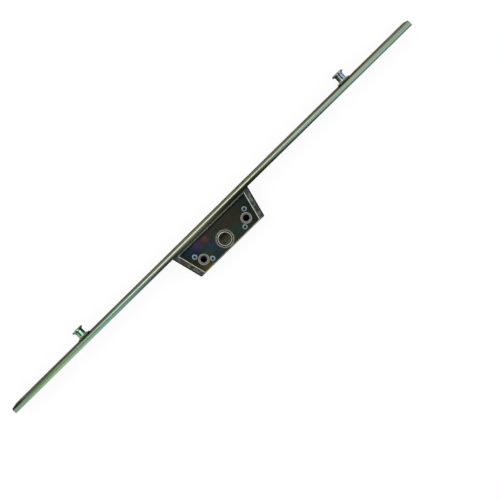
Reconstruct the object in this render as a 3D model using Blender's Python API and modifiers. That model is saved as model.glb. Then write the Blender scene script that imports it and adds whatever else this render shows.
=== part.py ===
"""Window espagnolette gearbox.

A folded steel channel lets into the edge of a window sash. A flat bar slides behind it and
carries two roller cams, which stand out through slots. A zinc gearbox is staked to the back of
the channel. Its toothed hub takes the square spindle of the handle and drives the bar by a rack.

X runs along the faceplate, Y points out of its front face, and Z points out of the cover plate.
The origin is on the front face, opposite the spindle. All sizes are in metres.
"""
import math

import bmesh
import bpy
from mathutils import Vector

for leftover in list(bpy.data.objects):
    bpy.data.objects.remove(leftover, do_unlink=True)

MM = 0.001

# Gaps between neighbouring pieces
SEAT_GAP = 0.3 * MM
FIT_GAP = 0.2 * MM
RUNNING_GAP = 0.08 * MM

# Faceplate: a sheet folded into a shallow channel
RAIL_LENGTH = 400 * MM
RAIL_WIDTH = 16 * MM
RAIL_DEPTH = 4.3 * MM
RAIL_SHEET = 1.5 * MM
RAIL_FOLD_INNER_RADIUS = 0.5 * MM
RAIL_EDGE_BEVEL = 0.2 * MM

# Fixing screws through the faceplate, one pair near its ends and one between gearbox and cams
SCREW_FROM_END = 15.4 * MM
SCREW_SHARE_OF_WAY_TO_CAM = 0.686
SCREW_HOLE_RADIUS = 2.4 * MM
SCREW_SINK_RADIUS = 4.1 * MM
SCREW_SINK_DEPTH = 1.3 * MM
SCREW_SERRATION = 0.45 * MM
SCREW_SERRATIONS = 14

# Slots for the cams, set a little outward from the middle of their travel
SLOT_OUTWARD = 1.75 * MM
SLOT_END_ROOM = 4.6 * MM
SLOT_WIDTH = 7.8 * MM
SLOT_ROLLOVER = 0.3 * MM

# Sliding bar
BAR_THICKNESS = 2 * MM
BAR_SQUARE_END = 10.8 * MM
BAR_ROUND_END = 9.6 * MM
BAR_SCREW_SLOT_WIDTH = 5.6 * MM
BAR_CORNER_RADIUS = 1 * MM

# Toothed drive, its tooth heights as shares of the module
RACK_PITCH_HEIGHT = 5.5 * MM
FULL_CIRCLE_TEETH = 14
SECTOR_TEETH = 5
PRESSURE_ANGLE = math.radians(20)
HUB_ADDENDUM = 0.867
RACK_ADDENDUM = 0.733
DEDENDUM = 1.0
TOOTH_PLAY = 0.15 * MM
HUB_TURN_DEG = 90
HUB_REST_FROM_STOP_DEG = 6

# Hub
BACKSET = 20 * MM
SPINDLE_SQUARE = 7.1 * MM
HUB_BACK_JOURNAL_RADIUS = 6 * MM
HUB_FRONT_JOURNAL_RADIUS = 6.45 * MM
HUB_BARREL_RADIUS = 6.6 * MM
HUB_RIM_RADIUS = 5.6 * MM
HUB_MOUTH_RADIUS = 4.75 * MM
HUB_RIM_HEIGHT = 0.6 * MM
HUB_MOUTH_DEPTH = 1.1 * MM
HUB_PROUD = 0.3 * MM

# Gearbox casting, which sits between the folds of the faceplate
BODY_BACK_INSET = 0.5 * MM
BODY_FRONT_INSET = 1.3 * MM
BODY_PAST_HUB = 2 * MM
BODY_PAST_RACK = 11.3 * MM
BODY_PAST_BUSH = 16 * MM
BODY_END_SLOPE = math.radians(14)
BODY_CORNER_RADIUS = 0.8 * MM
BODY_FLOOR = 2.5 * MM
BODY_LIP_HEIGHT = 1.2 * MM
BODY_LIP_UNDER_COVER = 0.5 * MM
HUB_STOP_PLAY_DEG = 2

# Lugs of the casting through the faceplate, set in a little from its ends and its open side
LUG_LENGTH = 7.45 * MM
LUG_WIDTH = 5.2 * MM
LUG_INSET = 0.25 * MM
LUG_CORNER_RADIUS = 1.8 * MM
LUG_PROUD = 0.35 * MM
LUG_SHOULDER = 0.5 * MM
LUG_ROOT = 1.5 * MM
STAKE_GROOVE = 0.9 * MM
STAKE_DEPTH = 0.45 * MM

# Cover plate
COVER_THICKNESS = 1.2 * MM
COVER_RAIL_MARGIN = 1.4 * MM
COVER_BOTTOM_MARGIN = 0.5 * MM
COVER_END_MARGIN = 4.1 * MM
COVER_CORNER_RADIUS = 0.5 * MM
COVER_EDGE_BEVEL = 0.5 * MM

# Threaded bushes for the handle's screws
BUSH_SPACING = 43 * MM
BUSH_FLANGE_RADIUS = 4.15 * MM
BUSH_FLANGE_HEIGHT = 0.6 * MM
BUSH_BARREL_RADIUS = 3.4 * MM
BUSH_THREAD_RADIUS = 2.1 * MM
BUSH_MOUTH_RADIUS = 3.1 * MM
BUSH_MOUTH_DEPTH = 0.9 * MM

# Cover rivets, placed from the nearest bush: away from the hub, and toward the faceplate
RIVET_OFFSETS = ((3.5 * MM, 5.8 * MM), (-5.1 * MM, -4 * MM))
RIVET_HEAD_RADIUS = 2.1 * MM
RIVET_HEAD_HEIGHT = 0.55 * MM
RIVET_SHANK_RADIUS = 1.4 * MM
RIVET_TAIL_RADIUS = 2.1 * MM
RIVET_DIMPLE_RADIUS = 0.75 * MM
RIVET_DIMPLE_DEPTH = 0.6 * MM

# Rack and its rivets
RACK_END = 4.4 * MM
RACK_RIVET_RADIUS = 1.4 * MM
RACK_RIVET_HEAD_RADIUS = 1.9 * MM
RACK_RIVET_HEAD_FLAT_RADIUS = 1.14 * MM
RACK_RIVET_HEAD_HEIGHT = 1 * MM
RACK_RIVET_SINK_RADIUS = 2.4 * MM

# Cams
CAM_FROM_END = 67.4 * MM
CAM_HEIGHT = 8 * MM
CAM_HEAD_RADIUS = 4.6 * MM
CAM_HEAD_HEIGHT = 1.4 * MM
CAM_NECK_RADIUS = 3.2 * MM
CAM_NECK_TAPER = 0.6 * MM
CAM_FOOT_RADIUS = 3.7 * MM
CAM_FOOT_HEIGHT = 0.4 * MM
CAM_SOCKET_RADIUS = 2.4 * MM
CAM_SOCKET_DEPTH = 1.2 * MM
WASHER_RADIUS = 5.45 * MM
WASHER_THICKNESS = 0.85 * MM
STUD_RADIUS = 1.8 * MM
STUD_COLLAR_RADIUS = 3.5 * MM
STUD_HEAD_RADIUS = 2.1 * MM
STUD_HEAD_HEIGHT = 0.7 * MM
STUD_SUNK = 0.25 * MM
STUD_DIMPLE_RADIUS = 1.1 * MM
STUD_TAIL_RADIUS = 2.9 * MM

# Facets around round forms
ROUND_STEPS = 32
SMALL_STEPS = 24
POCKET_WIDE_STEPS = 24
POCKET_NARROW_STEPS = 12
SECTOR_BACK_STEPS = 24
SLOT_END_STEPS = 9
BAR_CORNER_STEPS = 6
FILLET_STEPS = 4
FLANK_STEPS = 4

# Edges turned by more than this are shaded sharp
SHARP_EDGE = math.radians(35)

# Places that follow from the sizes above
RAIL_INNER_HALF = RAIL_WIDTH / 2 - RAIL_SHEET
WEB_BACK = -RAIL_SHEET
CAM_POSITION = RAIL_LENGTH / 2 - CAM_FROM_END
OUTER_SCREW = RAIL_LENGTH / 2 - SCREW_FROM_END
INNER_SCREW = CAM_POSITION * SCREW_SHARE_OF_WAY_TO_CAM
BAR_HALF_WIDTH = RAIL_INNER_HALF - SEAT_GAP
BAR_FRONT = WEB_BACK - FIT_GAP
BAR_BACK = BAR_FRONT - BAR_THICKNESS
BODY_RAIL_FACE = BAR_BACK - SEAT_GAP
BODY_BACK = BODY_BACK_INSET - RAIL_INNER_HALF
BODY_FRONT = RAIL_INNER_HALF - BODY_FRONT_INSET
BODY_BOTTOM = BACKSET + HUB_FRONT_JOURNAL_RADIUS + BODY_PAST_HUB
LIP_BACK = BODY_FRONT - BODY_LIP_HEIGHT
POCKET_FLOOR = BODY_BACK + BODY_FLOOR
COVER_BACK = BODY_FRONT + SEAT_GAP
COVER_FRONT = COVER_BACK + COVER_THICKNESS
TOOTH_BACK = POCKET_FLOOR + SEAT_GAP
TOOTH_FRONT = COVER_BACK - SEAT_GAP
RACK_FRONT = LIP_BACK - SEAT_GAP
PITCH_LINE = BODY_RAIL_FACE - RACK_PITCH_HEIGHT
PITCH_RADIUS = BACKSET + PITCH_LINE
MODULE = 2 * PITCH_RADIUS / FULL_CIRCLE_TEETH
TOOTH_DEDENDUM = DEDENDUM * MODULE
HUB_TIP_RADIUS = PITCH_RADIUS + HUB_ADDENDUM * MODULE
HUB_ROOT_RADIUS = PITCH_RADIUS - TOOTH_DEDENDUM
HUB_REST_DEG = HUB_TURN_DEG / 2 - HUB_REST_FROM_STOP_DEG
HALF_TRAVEL = PITCH_RADIUS * math.radians(HUB_TURN_DEG / 2)
BAR_SHIFT = PITCH_RADIUS * math.radians(HUB_REST_DEG)
SLOT_LENGTH = 2 * (HALF_TRAVEL + STUD_COLLAR_RADIUS + SLOT_END_ROOM)
RACK_TEETH = SECTOR_TEETH + 1
RACK_PITCH = math.pi * MODULE
RACK_RIVET_POSITION = RACK_TEETH * RACK_PITCH / 2 + RACK_END / 2
RACK_HALF_LENGTH = RACK_TEETH * RACK_PITCH / 2 + RACK_END
RACK_ROOT = PITCH_LINE + TOOTH_DEDENDUM
RACK_TIP = PITCH_LINE - RACK_ADDENDUM * MODULE
BODY_RAIL_HALF_LENGTH = max(RACK_HALF_LENGTH + HALF_TRAVEL + BODY_PAST_RACK,
                            BUSH_SPACING / 2 + BODY_PAST_BUSH)
WASHER_BACK = SEAT_GAP
WASHER_FRONT = WASHER_BACK + WASHER_THICKNESS
STUD_TIP = CAM_HEIGHT - STUD_SUNK


def collection(name):
    """A new collection linked to the scene."""
    group = bpy.data.collections.new(name)
    bpy.context.scene.collection.children.link(group)
    return group


def finish_material(name, colour, roughness, metallic=1.0):
    """A Principled surface with its colour, roughness and metallic value."""
    surface = bpy.data.materials.new(name)
    surface.use_nodes = True
    shader = surface.node_tree.nodes["Principled BSDF"]
    shader.inputs["Base Color"].default_value = (*colour, 1.0)
    shader.inputs["Roughness"].default_value = roughness
    shader.inputs["Metallic"].default_value = metallic
    surface.diffuse_color = (*colour, 1.0)
    return surface


def arc(centre, radius, start, end, steps):
    """Points of an arc about a centre, from one angle to another, in radians."""
    points = []
    for step in range(steps + 1):
        angle = start + (end - start) * step / steps
        points.append((centre[0] + radius * math.cos(angle), centre[1] + radius * math.sin(angle)))
    return points


def circle(radius, steps, centre=(0.0, 0.0)):
    """A closed ring of points."""
    return arc(centre, radius, 0.0, math.tau, steps)[:-1]


def stadium(length, width):
    """A slot outline with round ends, along X."""
    radius = width / 2
    reach = length / 2 - radius
    right = arc((reach, 0.0), radius, -math.pi / 2, math.pi / 2, SLOT_END_STEPS)
    left = arc((-reach, 0.0), radius, math.pi / 2, math.pi * 1.5, SLOT_END_STEPS)
    return right + left


def rounded(corners, radii, steps=FILLET_STEPS):
    """A closed outline through corners, each turned on an arc of its own radius."""
    outline = []
    for index, radius in enumerate(radii):
        here = Vector(corners[index])
        if radius == 0:
            outline.append(tuple(here))
            continue
        back = (Vector(corners[index - 1]) - here).normalized()
        ahead = (Vector(corners[(index + 1) % len(corners)]) - here).normalized()
        half = back.angle(ahead) / 2
        centre = here + (back + ahead).normalized() * radius / math.sin(half)
        begin = here + back * radius / math.tan(half) - centre
        final = here + ahead * radius / math.tan(half) - centre
        start = math.atan2(begin.y, begin.x)
        turn = math.remainder(math.atan2(final.y, final.x) - start, math.tau)
        outline += arc(centre, radius, start, start + turn, steps)
    return outline


def rectangle(half_x, half_y, centre=(0.0, 0.0)):
    """Four corners, in order."""
    x, y = centre
    return [(x - half_x, y - half_y), (x + half_x, y - half_y),
            (x + half_x, y + half_y), (x - half_x, y + half_y)]


def flat_mesh(name, outlines, thickness):
    """A filled outline, with any holes, thickened evenly to both sides of its plane."""
    curve = bpy.data.curves.new(name, "CURVE")
    curve.dimensions = "2D"
    curve.fill_mode = "BOTH"
    curve.extrude = thickness / 2
    for outline in outlines:
        spline = curve.splines.new("POLY")
        spline.points.add(len(outline) - 1)
        for point, (x, y) in zip(spline.points, outline):
            point.co = (x, y, 0.0, 1.0)
        spline.use_cyclic_u = True
    holder = bpy.data.objects.new(name, curve)
    bpy.context.scene.collection.objects.link(holder)
    evaluated = holder.evaluated_get(bpy.context.evaluated_depsgraph_get())
    mesh = bpy.data.meshes.new_from_object(evaluated)
    mesh.name = name
    bpy.data.objects.remove(holder)
    bpy.data.curves.remove(curve)
    shape = bmesh.new()
    shape.from_mesh(mesh)
    bmesh.ops.remove_doubles(shape, verts=shape.verts, dist=0.000001)
    if len(outlines) == 1:
        for side in (-1, 1):
            caps = [face for face in shape.faces if all(vert.co.z * side > 0 for vert in face.verts)]
            bmesh.ops.dissolve_faces(shape, faces=caps)
    bmesh.ops.recalc_face_normals(shape, faces=shape.faces)
    shape.to_mesh(mesh)
    shape.free()
    return mesh


def loft_mesh(name, sections):
    """A closed body through sections, each an outline and its height, with like points joined."""
    shape = bmesh.new()
    rings = []
    for outline, height in sections:
        rings.append([shape.verts.new((x, y, height)) for x, y in outline])
    for lower, upper in zip(rings, rings[1:]):
        for index in range(len(lower)):
            following = (index + 1) % len(lower)
            shape.faces.new((lower[index], lower[following], upper[following], upper[index]))
    shape.faces.new(rings[0])
    shape.faces.new(rings[-1])
    bmesh.ops.recalc_face_normals(shape, faces=shape.faces)
    mesh = bpy.data.meshes.new(name)
    shape.to_mesh(mesh)
    shape.free()
    return mesh


def drill_mesh(name, bore, mouth, depth, reach, steps):
    """A drill with a countersink that opens along +Z at height zero and runs a little past it."""
    past = SEAT_GAP
    wide = mouth + (mouth - bore) * past / depth
    return loft_mesh(name, [
        (circle(bore, steps), -reach), (circle(bore, steps), -depth), (circle(wide, steps), past),
    ])


def turned_mesh(name, profile):
    """The edge chain that a Screw modifier turns, each point a radius and a height."""
    shape = bmesh.new()
    chain = [shape.verts.new((radius, 0.0, height)) for radius, height in profile]
    for first, second in zip(chain, chain[1:]):
        shape.edges.new((first, second))
    mesh = bpy.data.meshes.new(name)
    shape.to_mesh(mesh)
    shape.free()
    return mesh


def place(name, mesh, group, location=(0.0, 0.0, 0.0), rotation=(0.0, 0.0, 0.0), surface=None):
    """An object for a mesh, set in its collection."""
    piece = bpy.data.objects.new(name, mesh)
    piece.location = location
    piece.rotation_euler = rotation
    group.objects.link(piece)
    if surface is not None:
        mesh.materials.clear()
        mesh.materials.append(surface)
    return piece


def turn(piece, steps, closed=False):
    """Revolve a profile about the piece's own Z axis; a closed profile is a ring with a bore."""
    if closed:
        shape = bmesh.new()
        shape.from_mesh(piece.data)
        shape.verts.ensure_lookup_table()
        shape.edges.new((shape.verts[-1], shape.verts[0]))
        shape.to_mesh(piece.data)
        shape.free()
    screw = piece.modifiers.new("turned", "SCREW")
    screw.steps = steps
    screw.render_steps = steps
    screw.use_merge_vertices = True
    screw.merge_threshold = 0.000001
    screw.use_smooth_shade = True
    return piece


def boolean(piece, other, operation):
    """Cut or join a piece with another shape."""
    step = piece.modifiers.new(other.name, "BOOLEAN")
    step.operation = operation
    step.solver = "EXACT"
    step.object = other


def as_cutter(piece):
    """Keep a construction shape out of the render."""
    piece.hide_render = True
    piece.display_type = "WIRE"
    return piece


def cut(piece, name, mesh, location=(0.0, 0.0, 0.0), rotation=(0.0, 0.0, 0.0)):
    """Take a shape away from a piece."""
    cutter = as_cutter(place(name, mesh, CUTTERS, location, rotation))
    boolean(piece, cutter, "DIFFERENCE")
    return cutter


def smooth(piece):
    """Shade round stretches smooth and keep the edges sharp."""
    piece.data.shade_smooth()
    piece.data.set_sharp_from_angle(angle=SHARP_EDGE)
    return piece


# Local X and Y of an outline laid along world X and Z, with its height along world -Y or +Y
FACING_BACK = (math.pi / 2, 0.0, 0.0)
FACING_FRONT = (-math.pi / 2, 0.0, 0.0)
# Local X and Y of a section laid along world Z and Y, with its length along world X
ALONG_RAIL = (0.0, -math.pi / 2, 0.0)


def body_half_length(depth):
    """Half the casting's length at a depth behind the front face."""
    return BODY_RAIL_HALF_LENGTH - (depth + BODY_RAIL_FACE) * math.tan(BODY_END_SLOPE)


def lug_inner():
    """The side of a lug that faces the middle; it stands upright."""
    return body_half_length(0.0) - LUG_INSET - LUG_LENGTH


def lug_centre(depth):
    """The middle of a lug at a depth behind the front face, along the rail and across it."""
    outer = body_half_length(depth) - LUG_INSET
    return (outer + lug_inner()) / 2, BODY_FRONT - LUG_INSET - LUG_WIDTH / 2


def lug_outline(side, depth, inward=0.0, outward=0.0):
    """A lug laid out for FACING_FRONT: two sides grow inward over the casting, two toward its edges."""
    centre_x, centre_z = lug_centre(depth)
    half_x = centre_x - lug_inner() + (inward + outward) / 2
    half_z = (LUG_WIDTH + inward + outward) / 2
    shift = (outward - inward) / 2
    corners = rectangle(half_x, half_z, (side * (centre_x + shift), -centre_z - shift))
    return rounded(corners, [LUG_CORNER_RADIUS] * 4)


def faceplate_section():
    """The channel's section, with the web along X and the front face at zero."""
    half = RAIL_WIDTH / 2
    inner = RAIL_FOLD_INNER_RADIUS
    outer = inner + RAIL_SHEET
    tip = RAIL_EDGE_BEVEL
    corners = [
        (-half, -RAIL_DEPTH), (-half, 0.0), (half, 0.0), (half, -RAIL_DEPTH),
        (RAIL_INNER_HALF, -RAIL_DEPTH), (RAIL_INNER_HALF, WEB_BACK),
        (-RAIL_INNER_HALF, WEB_BACK), (-RAIL_INNER_HALF, -RAIL_DEPTH),
    ]
    radii = [tip, outer, outer, tip, tip, inner, inner, tip]
    return rounded(corners, radii, steps=FILLET_STEPS)


def screw_hole():
    """A screw hole's cutter, whose countersink has radial serrations."""
    count = SCREW_SERRATIONS * 2
    bore = circle(SCREW_HOLE_RADIUS, count)

    # The countersink runs on past the front face, to as far above it as its floor lies below
    serrated = []
    for index, (x, y) in enumerate(circle(1.0, count)):
        radius = 2 * SCREW_SINK_RADIUS - SCREW_HOLE_RADIUS - 2 * SCREW_SERRATION * (index % 2)
        serrated.append((x * radius, y * radius))
    return loft_mesh("screw hole", [
        (bore, -RAIL_DEPTH), (bore, -SCREW_SINK_DEPTH), (serrated, SCREW_SINK_DEPTH),
    ])


def slot_cutter():
    """A cam slot's cutter, flared where the punch rolled the front edge over."""
    narrow = stadium(SLOT_LENGTH, SLOT_WIDTH)
    wide = stadium(SLOT_LENGTH + 4 * SLOT_ROLLOVER, SLOT_WIDTH + 4 * SLOT_ROLLOVER)
    return loft_mesh("cam slot", [
        (narrow, -RAIL_DEPTH), (narrow, -SLOT_ROLLOVER), (wide, SLOT_ROLLOVER),
    ])


def make_faceplate():
    """The folded channel with its slots, screw holes and lug holes."""
    mesh = flat_mesh("faceplate", [faceplate_section()], RAIL_LENGTH)
    piece = smooth(place("faceplate", mesh, PARTS, rotation=ALONG_RAIL, surface=RAIL_STEEL))
    for side in (-1, 1):
        spot = (side * (CAM_POSITION + SLOT_OUTWARD), 0.0, 0.0)
        cut(piece, "cam slot", slot_cutter(), spot, FACING_FRONT)
        for position in (INNER_SCREW, OUTER_SCREW):
            cut(piece, "screw hole", screw_hole(), (side * position, 0.0, 0.0), FACING_FRONT)
        hole = flat_mesh("lug hole", [lug_outline(side, 0.0, FIT_GAP, FIT_GAP)], RAIL_DEPTH)
        cut(piece, "lug hole", hole, (0.0, 0.0, 0.0), FACING_FRONT)
    return piece


def make_slide_bar(carriage):
    """The flat bar: one square end, one round end, notched past the lugs and slotted for screws."""
    half = BAR_HALF_WIDTH
    low = -CAM_POSITION - BAR_SQUARE_END
    high = CAM_POSITION + BAR_ROUND_END
    near = lug_inner() - LUG_SHOULDER - HALF_TRAVEL - SEAT_GAP
    far = body_half_length(-BAR_FRONT) + HALF_TRAVEL + SEAT_GAP
    neck = lug_centre(-BAR_FRONT)[1] - LUG_WIDTH / 2 - LUG_SHOULDER - SEAT_GAP
    corner = BAR_CORNER_RADIUS
    steps = [
        ((low, -half), corner / 2), ((high, -half), half), ((high, half), half),
        ((far, half), corner), ((far, neck), corner), ((near, neck), corner), ((near, half), corner),
        ((-near, half), corner), ((-near, neck), corner), ((-far, neck), corner), ((-far, half), corner),
        ((low, half), corner / 2),
    ]
    outline = rounded([point for point, _ in steps], [radius for _, radius in steps], BAR_CORNER_STEPS)
    mesh = flat_mesh("slide_bar", [outline], BAR_THICKNESS)
    centre = (BAR_FRONT + BAR_BACK) / 2
    piece = place("slide_bar", mesh, PARTS, (0.0, centre, 0.0), FACING_BACK, BAR_STEEL)
    piece.parent = carriage
    reach = 2 * BAR_THICKNESS
    slot_length = BAR_SCREW_SLOT_WIDTH + 2 * HALF_TRAVEL + 2 * SEAT_GAP
    for side in (-1, 1):
        hole = flat_mesh("screw slot", [stadium(slot_length, BAR_SCREW_SLOT_WIDTH)], reach)
        spot = (side * INNER_SCREW, centre, 0.0)
        cut(piece, "screw slot", hole, spot, FACING_BACK).parent = carriage
        hole = drill_mesh("stud hole", STUD_RADIUS + FIT_GAP, STUD_TAIL_RADIUS + FIT_GAP,
                          STUD_TAIL_RADIUS - STUD_RADIUS, reach, SMALL_STEPS)
        spot = (side * CAM_POSITION, BAR_BACK, 0.0)
        cut(piece, "stud hole", hole, spot, FACING_BACK).parent = carriage
        hole = drill_mesh("rivet hole", RACK_RIVET_RADIUS + FIT_GAP, RACK_RIVET_SINK_RADIUS + FIT_GAP,
                          RACK_RIVET_SINK_RADIUS - RACK_RIVET_RADIUS, reach, SMALL_STEPS)
        spot = (side * RACK_RIVET_POSITION, BAR_FRONT, 0.0)
        cut(piece, "rivet hole", hole, spot, FACING_FRONT).parent = carriage
    return piece


def body_outline():
    """The casting seen from the cover side: a trapezium with slanted ends."""
    top = body_half_length(-BODY_RAIL_FACE)
    bottom = body_half_length(BODY_BOTTOM)
    low_edge = [(-bottom, -BODY_BOTTOM), (bottom, -BODY_BOTTOM)]
    rail_edge = [(top, BODY_RAIL_FACE), (-top, BODY_RAIL_FACE)]
    return rounded(low_edge + rail_edge, [BODY_CORNER_RADIUS] * 4)


def cover_outline(inset=0.0):
    """The cover plate, set in from the casting's edges."""
    upper = BODY_RAIL_FACE - COVER_RAIL_MARGIN - inset
    lower = -BODY_BOTTOM + COVER_BOTTOM_MARGIN + inset
    end_inset = COVER_END_MARGIN + inset / math.cos(BODY_END_SLOPE)
    top = body_half_length(-upper) - end_inset
    bottom = body_half_length(-lower) - end_inset
    corners = [(-bottom, lower), (bottom, lower), (top, upper), (-top, upper)]
    return rounded(corners, [COVER_CORNER_RADIUS] * 4)


def hub_pocket_outline():
    """Room for the hub: wide where its teeth swing, narrow below its barrel."""
    half_turn = math.radians(sector_half_angle_deg() + HUB_TURN_DEG / 2 + HUB_STOP_PLAY_DEG)
    upright = math.pi / 2
    start = upright - half_turn
    end = upright + half_turn
    wide = arc((0.0, 0.0), HUB_TIP_RADIUS + SEAT_GAP, start, end, POCKET_WIDE_STEPS)
    narrow = arc((0.0, 0.0), HUB_BARREL_RADIUS + SEAT_GAP, end, start + math.tau, POCKET_NARROW_STEPS)
    return wide + narrow


def rack_channel_section(past_front):
    """Room for the rack: open to the bar, and to the cover except under the casting's lip."""
    floor = RACK_TIP - SEAT_GAP
    open_side = BODY_RAIL_FACE + SEAT_GAP
    lip_edge = BODY_RAIL_FACE - COVER_RAIL_MARGIN - BODY_LIP_UNDER_COVER
    return [
        (POCKET_FLOOR, floor), (past_front, floor), (past_front, lip_edge),
        (LIP_BACK, lip_edge), (LIP_BACK, open_side), (POCKET_FLOOR, open_side),
    ]


def sector_half_angle_deg():
    """Half the angle that the hub's toothed sector spans."""
    pitch_angle = 360 / FULL_CIRCLE_TEETH
    return SECTOR_TEETH * pitch_angle / 2


def bush_positions():
    """Places of the two threaded bushes, as a side and a position along the faceplate."""
    return ((-1, -BUSH_SPACING / 2), (1, BUSH_SPACING / 2))


def rivet_positions():
    """Places of the four cover rivets."""
    places = []
    for side, position in bush_positions():
        for outward, toward_rail in RIVET_OFFSETS:
            places.append((position + side * outward, toward_rail - BACKSET))
    return places


def make_gearbox_body():
    """The casting: a box with a lip along the bar and two lugs that pass through the faceplate."""
    thickness = BODY_FRONT - BODY_BACK
    middle = (BODY_FRONT + BODY_BACK) / 2
    mesh = flat_mesh("gearbox_body", [body_outline()], thickness)
    piece = smooth(place("gearbox_body", mesh, PARTS, (0.0, 0.0, middle), surface=ZINC))

    seat = WEB_BACK - SEAT_GAP
    root = BODY_RAIL_FACE - LUG_ROOT
    shoulder = (LUG_SHOULDER, LUG_INSET / 2)
    for side in (-1, 1):
        lug = loft_mesh("lug", [
            (lug_outline(side, -root, *shoulder), root), (lug_outline(side, -seat, *shoulder), seat),
            (lug_outline(side, -seat), seat), (lug_outline(side, 0.0), LUG_PROUD - SEAT_GAP),
            (lug_outline(side, 0.0, -SEAT_GAP, -SEAT_GAP), LUG_PROUD),
        ])
        lug = as_cutter(place("lug", lug, CUTTERS, (0.0, 0.0, 0.0), FACING_FRONT))
        boolean(piece, lug, "UNION")

    room = TOOTH_FRONT - POCKET_FLOOR + 2 * BODY_FLOOR
    rack_room = RACK_HALF_LENGTH + HALF_TRAVEL + SEAT_GAP
    channel = flat_mesh("rack channel", [rack_channel_section(POCKET_FLOOR + room)], 2 * rack_room)
    cut(piece, "rack channel", channel, rotation=ALONG_RAIL)
    pocket = flat_mesh("hub pocket", [hub_pocket_outline()], room)
    cut(piece, "hub pocket", pocket, (0.0, -BACKSET, POCKET_FLOOR + room / 2))

    through = 2 * thickness
    bearing = circle(HUB_BACK_JOURNAL_RADIUS + RUNNING_GAP, ROUND_STEPS)
    cut(piece, "hub bearing", flat_mesh("hub bearing", [bearing], through), (0.0, -BACKSET, BODY_BACK))
    for _, position in bush_positions():
        bore = flat_mesh("bush bore", [circle(BUSH_BARREL_RADIUS + FIT_GAP, SMALL_STEPS)], through)
        cut(piece, "bush bore", bore, (position, -BACKSET, middle))
    for x, y in rivet_positions():
        bore = drill_mesh("rivet bore", RIVET_SHANK_RADIUS + FIT_GAP, RIVET_TAIL_RADIUS + FIT_GAP,
                          RIVET_TAIL_RADIUS - RIVET_SHANK_RADIUS, through, SMALL_STEPS)
        cut(piece, "rivet bore", bore, (x, y, BODY_BACK), (math.pi, 0.0, 0.0))
    centre_x, centre_z = lug_centre(0.0)
    for side in (-1, 1):
        cross = loft_mesh("stake", [
            (cross_outline(STAKE_GROOVE / 4), -STAKE_DEPTH),
            (cross_outline(STAKE_GROOVE * 3 / 4), STAKE_DEPTH),
        ])
        cut(piece, "stake", cross, (side * centre_x, LUG_PROUD, centre_z), FACING_FRONT)
    return piece


def cross_outline(half_groove):
    """A plus sign inside a lug's end, the mark of the staking punch."""
    arm_x = (LUG_LENGTH - LUG_CORNER_RADIUS) / 2
    arm_y = (LUG_WIDTH - LUG_CORNER_RADIUS) / 2
    g = half_groove
    return [
        (-arm_x, -g), (-g, -g), (-g, -arm_y), (g, -arm_y), (g, -g), (arm_x, -g),
        (arm_x, g), (g, g), (g, arm_y), (-g, arm_y), (-g, g), (-arm_x, g),
    ]


def make_cover_plate():
    """The steel plate that closes the casting, with holes for hub, bushes and rivets."""
    mesh = loft_mesh("cover_plate", [
        (cover_outline(), COVER_BACK), (cover_outline(), COVER_FRONT - COVER_EDGE_BEVEL),
        (cover_outline(COVER_EDGE_BEVEL), COVER_FRONT),
    ])
    piece = smooth(place("cover_plate", mesh, PARTS, surface=COVER_STEEL))
    reach = 2 * COVER_THICKNESS
    bore = HUB_FRONT_JOURNAL_RADIUS + RUNNING_GAP
    hole = drill_mesh("hub hole", bore, bore + COVER_EDGE_BEVEL, COVER_EDGE_BEVEL, reach, ROUND_STEPS)
    cut(piece, "hub hole", hole, (0.0, -BACKSET, COVER_FRONT))
    middle = (COVER_BACK + COVER_FRONT) / 2
    for _, position in bush_positions():
        hole = flat_mesh("bush hole", [circle(BUSH_BARREL_RADIUS + FIT_GAP, SMALL_STEPS)], reach)
        cut(piece, "bush hole", hole, (position, -BACKSET, middle))
    for x, y in rivet_positions():
        hole = flat_mesh("rivet hole", [circle(RIVET_SHANK_RADIUS + FIT_GAP, SMALL_STEPS)], reach)
        cut(piece, "rivet hole", hole, (x, y, middle))
    return piece


def involute_angle(radius):
    """Angle of a flank at a radius, from where its involute leaves the base circle."""
    base = PITCH_RADIUS * math.cos(PRESSURE_ANGLE)
    if radius <= base:
        return 0.0
    roll = math.sqrt((radius / base) ** 2 - 1)
    return roll - math.atan(roll)


def sector_outline():
    """The hub's toothed sector, pointing along +Y, on its round barrel."""
    pitch_angle = math.tau / FULL_CIRCLE_TEETH
    half_tooth = pitch_angle / 4 - TOOTH_PLAY / 2 / PITCH_RADIUS + involute_angle(PITCH_RADIUS)
    points = []

    def polar(radius, angle):
        points.append((radius * math.sin(angle), radius * math.cos(angle)))

    half_sector = math.radians(sector_half_angle_deg())
    polar(HUB_ROOT_RADIUS, -half_sector)
    for tooth in range(SECTOR_TEETH):
        centre = (tooth - (SECTOR_TEETH - 1) / 2) * pitch_angle
        radii = [HUB_ROOT_RADIUS + (HUB_TIP_RADIUS - HUB_ROOT_RADIUS) * step / FLANK_STEPS
                 for step in range(FLANK_STEPS + 1)]
        for radius in radii:
            polar(radius, centre - half_tooth + involute_angle(radius))
        for radius in reversed(radii):
            polar(radius, centre + half_tooth - involute_angle(radius))
    polar(HUB_ROOT_RADIUS, half_sector)
    barrel = arc((0.0, 0.0), HUB_BARREL_RADIUS, math.pi / 2 - half_sector,
                 math.pi / 2 + half_sector - math.tau, SECTOR_BACK_STEPS)
    return points + barrel


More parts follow.
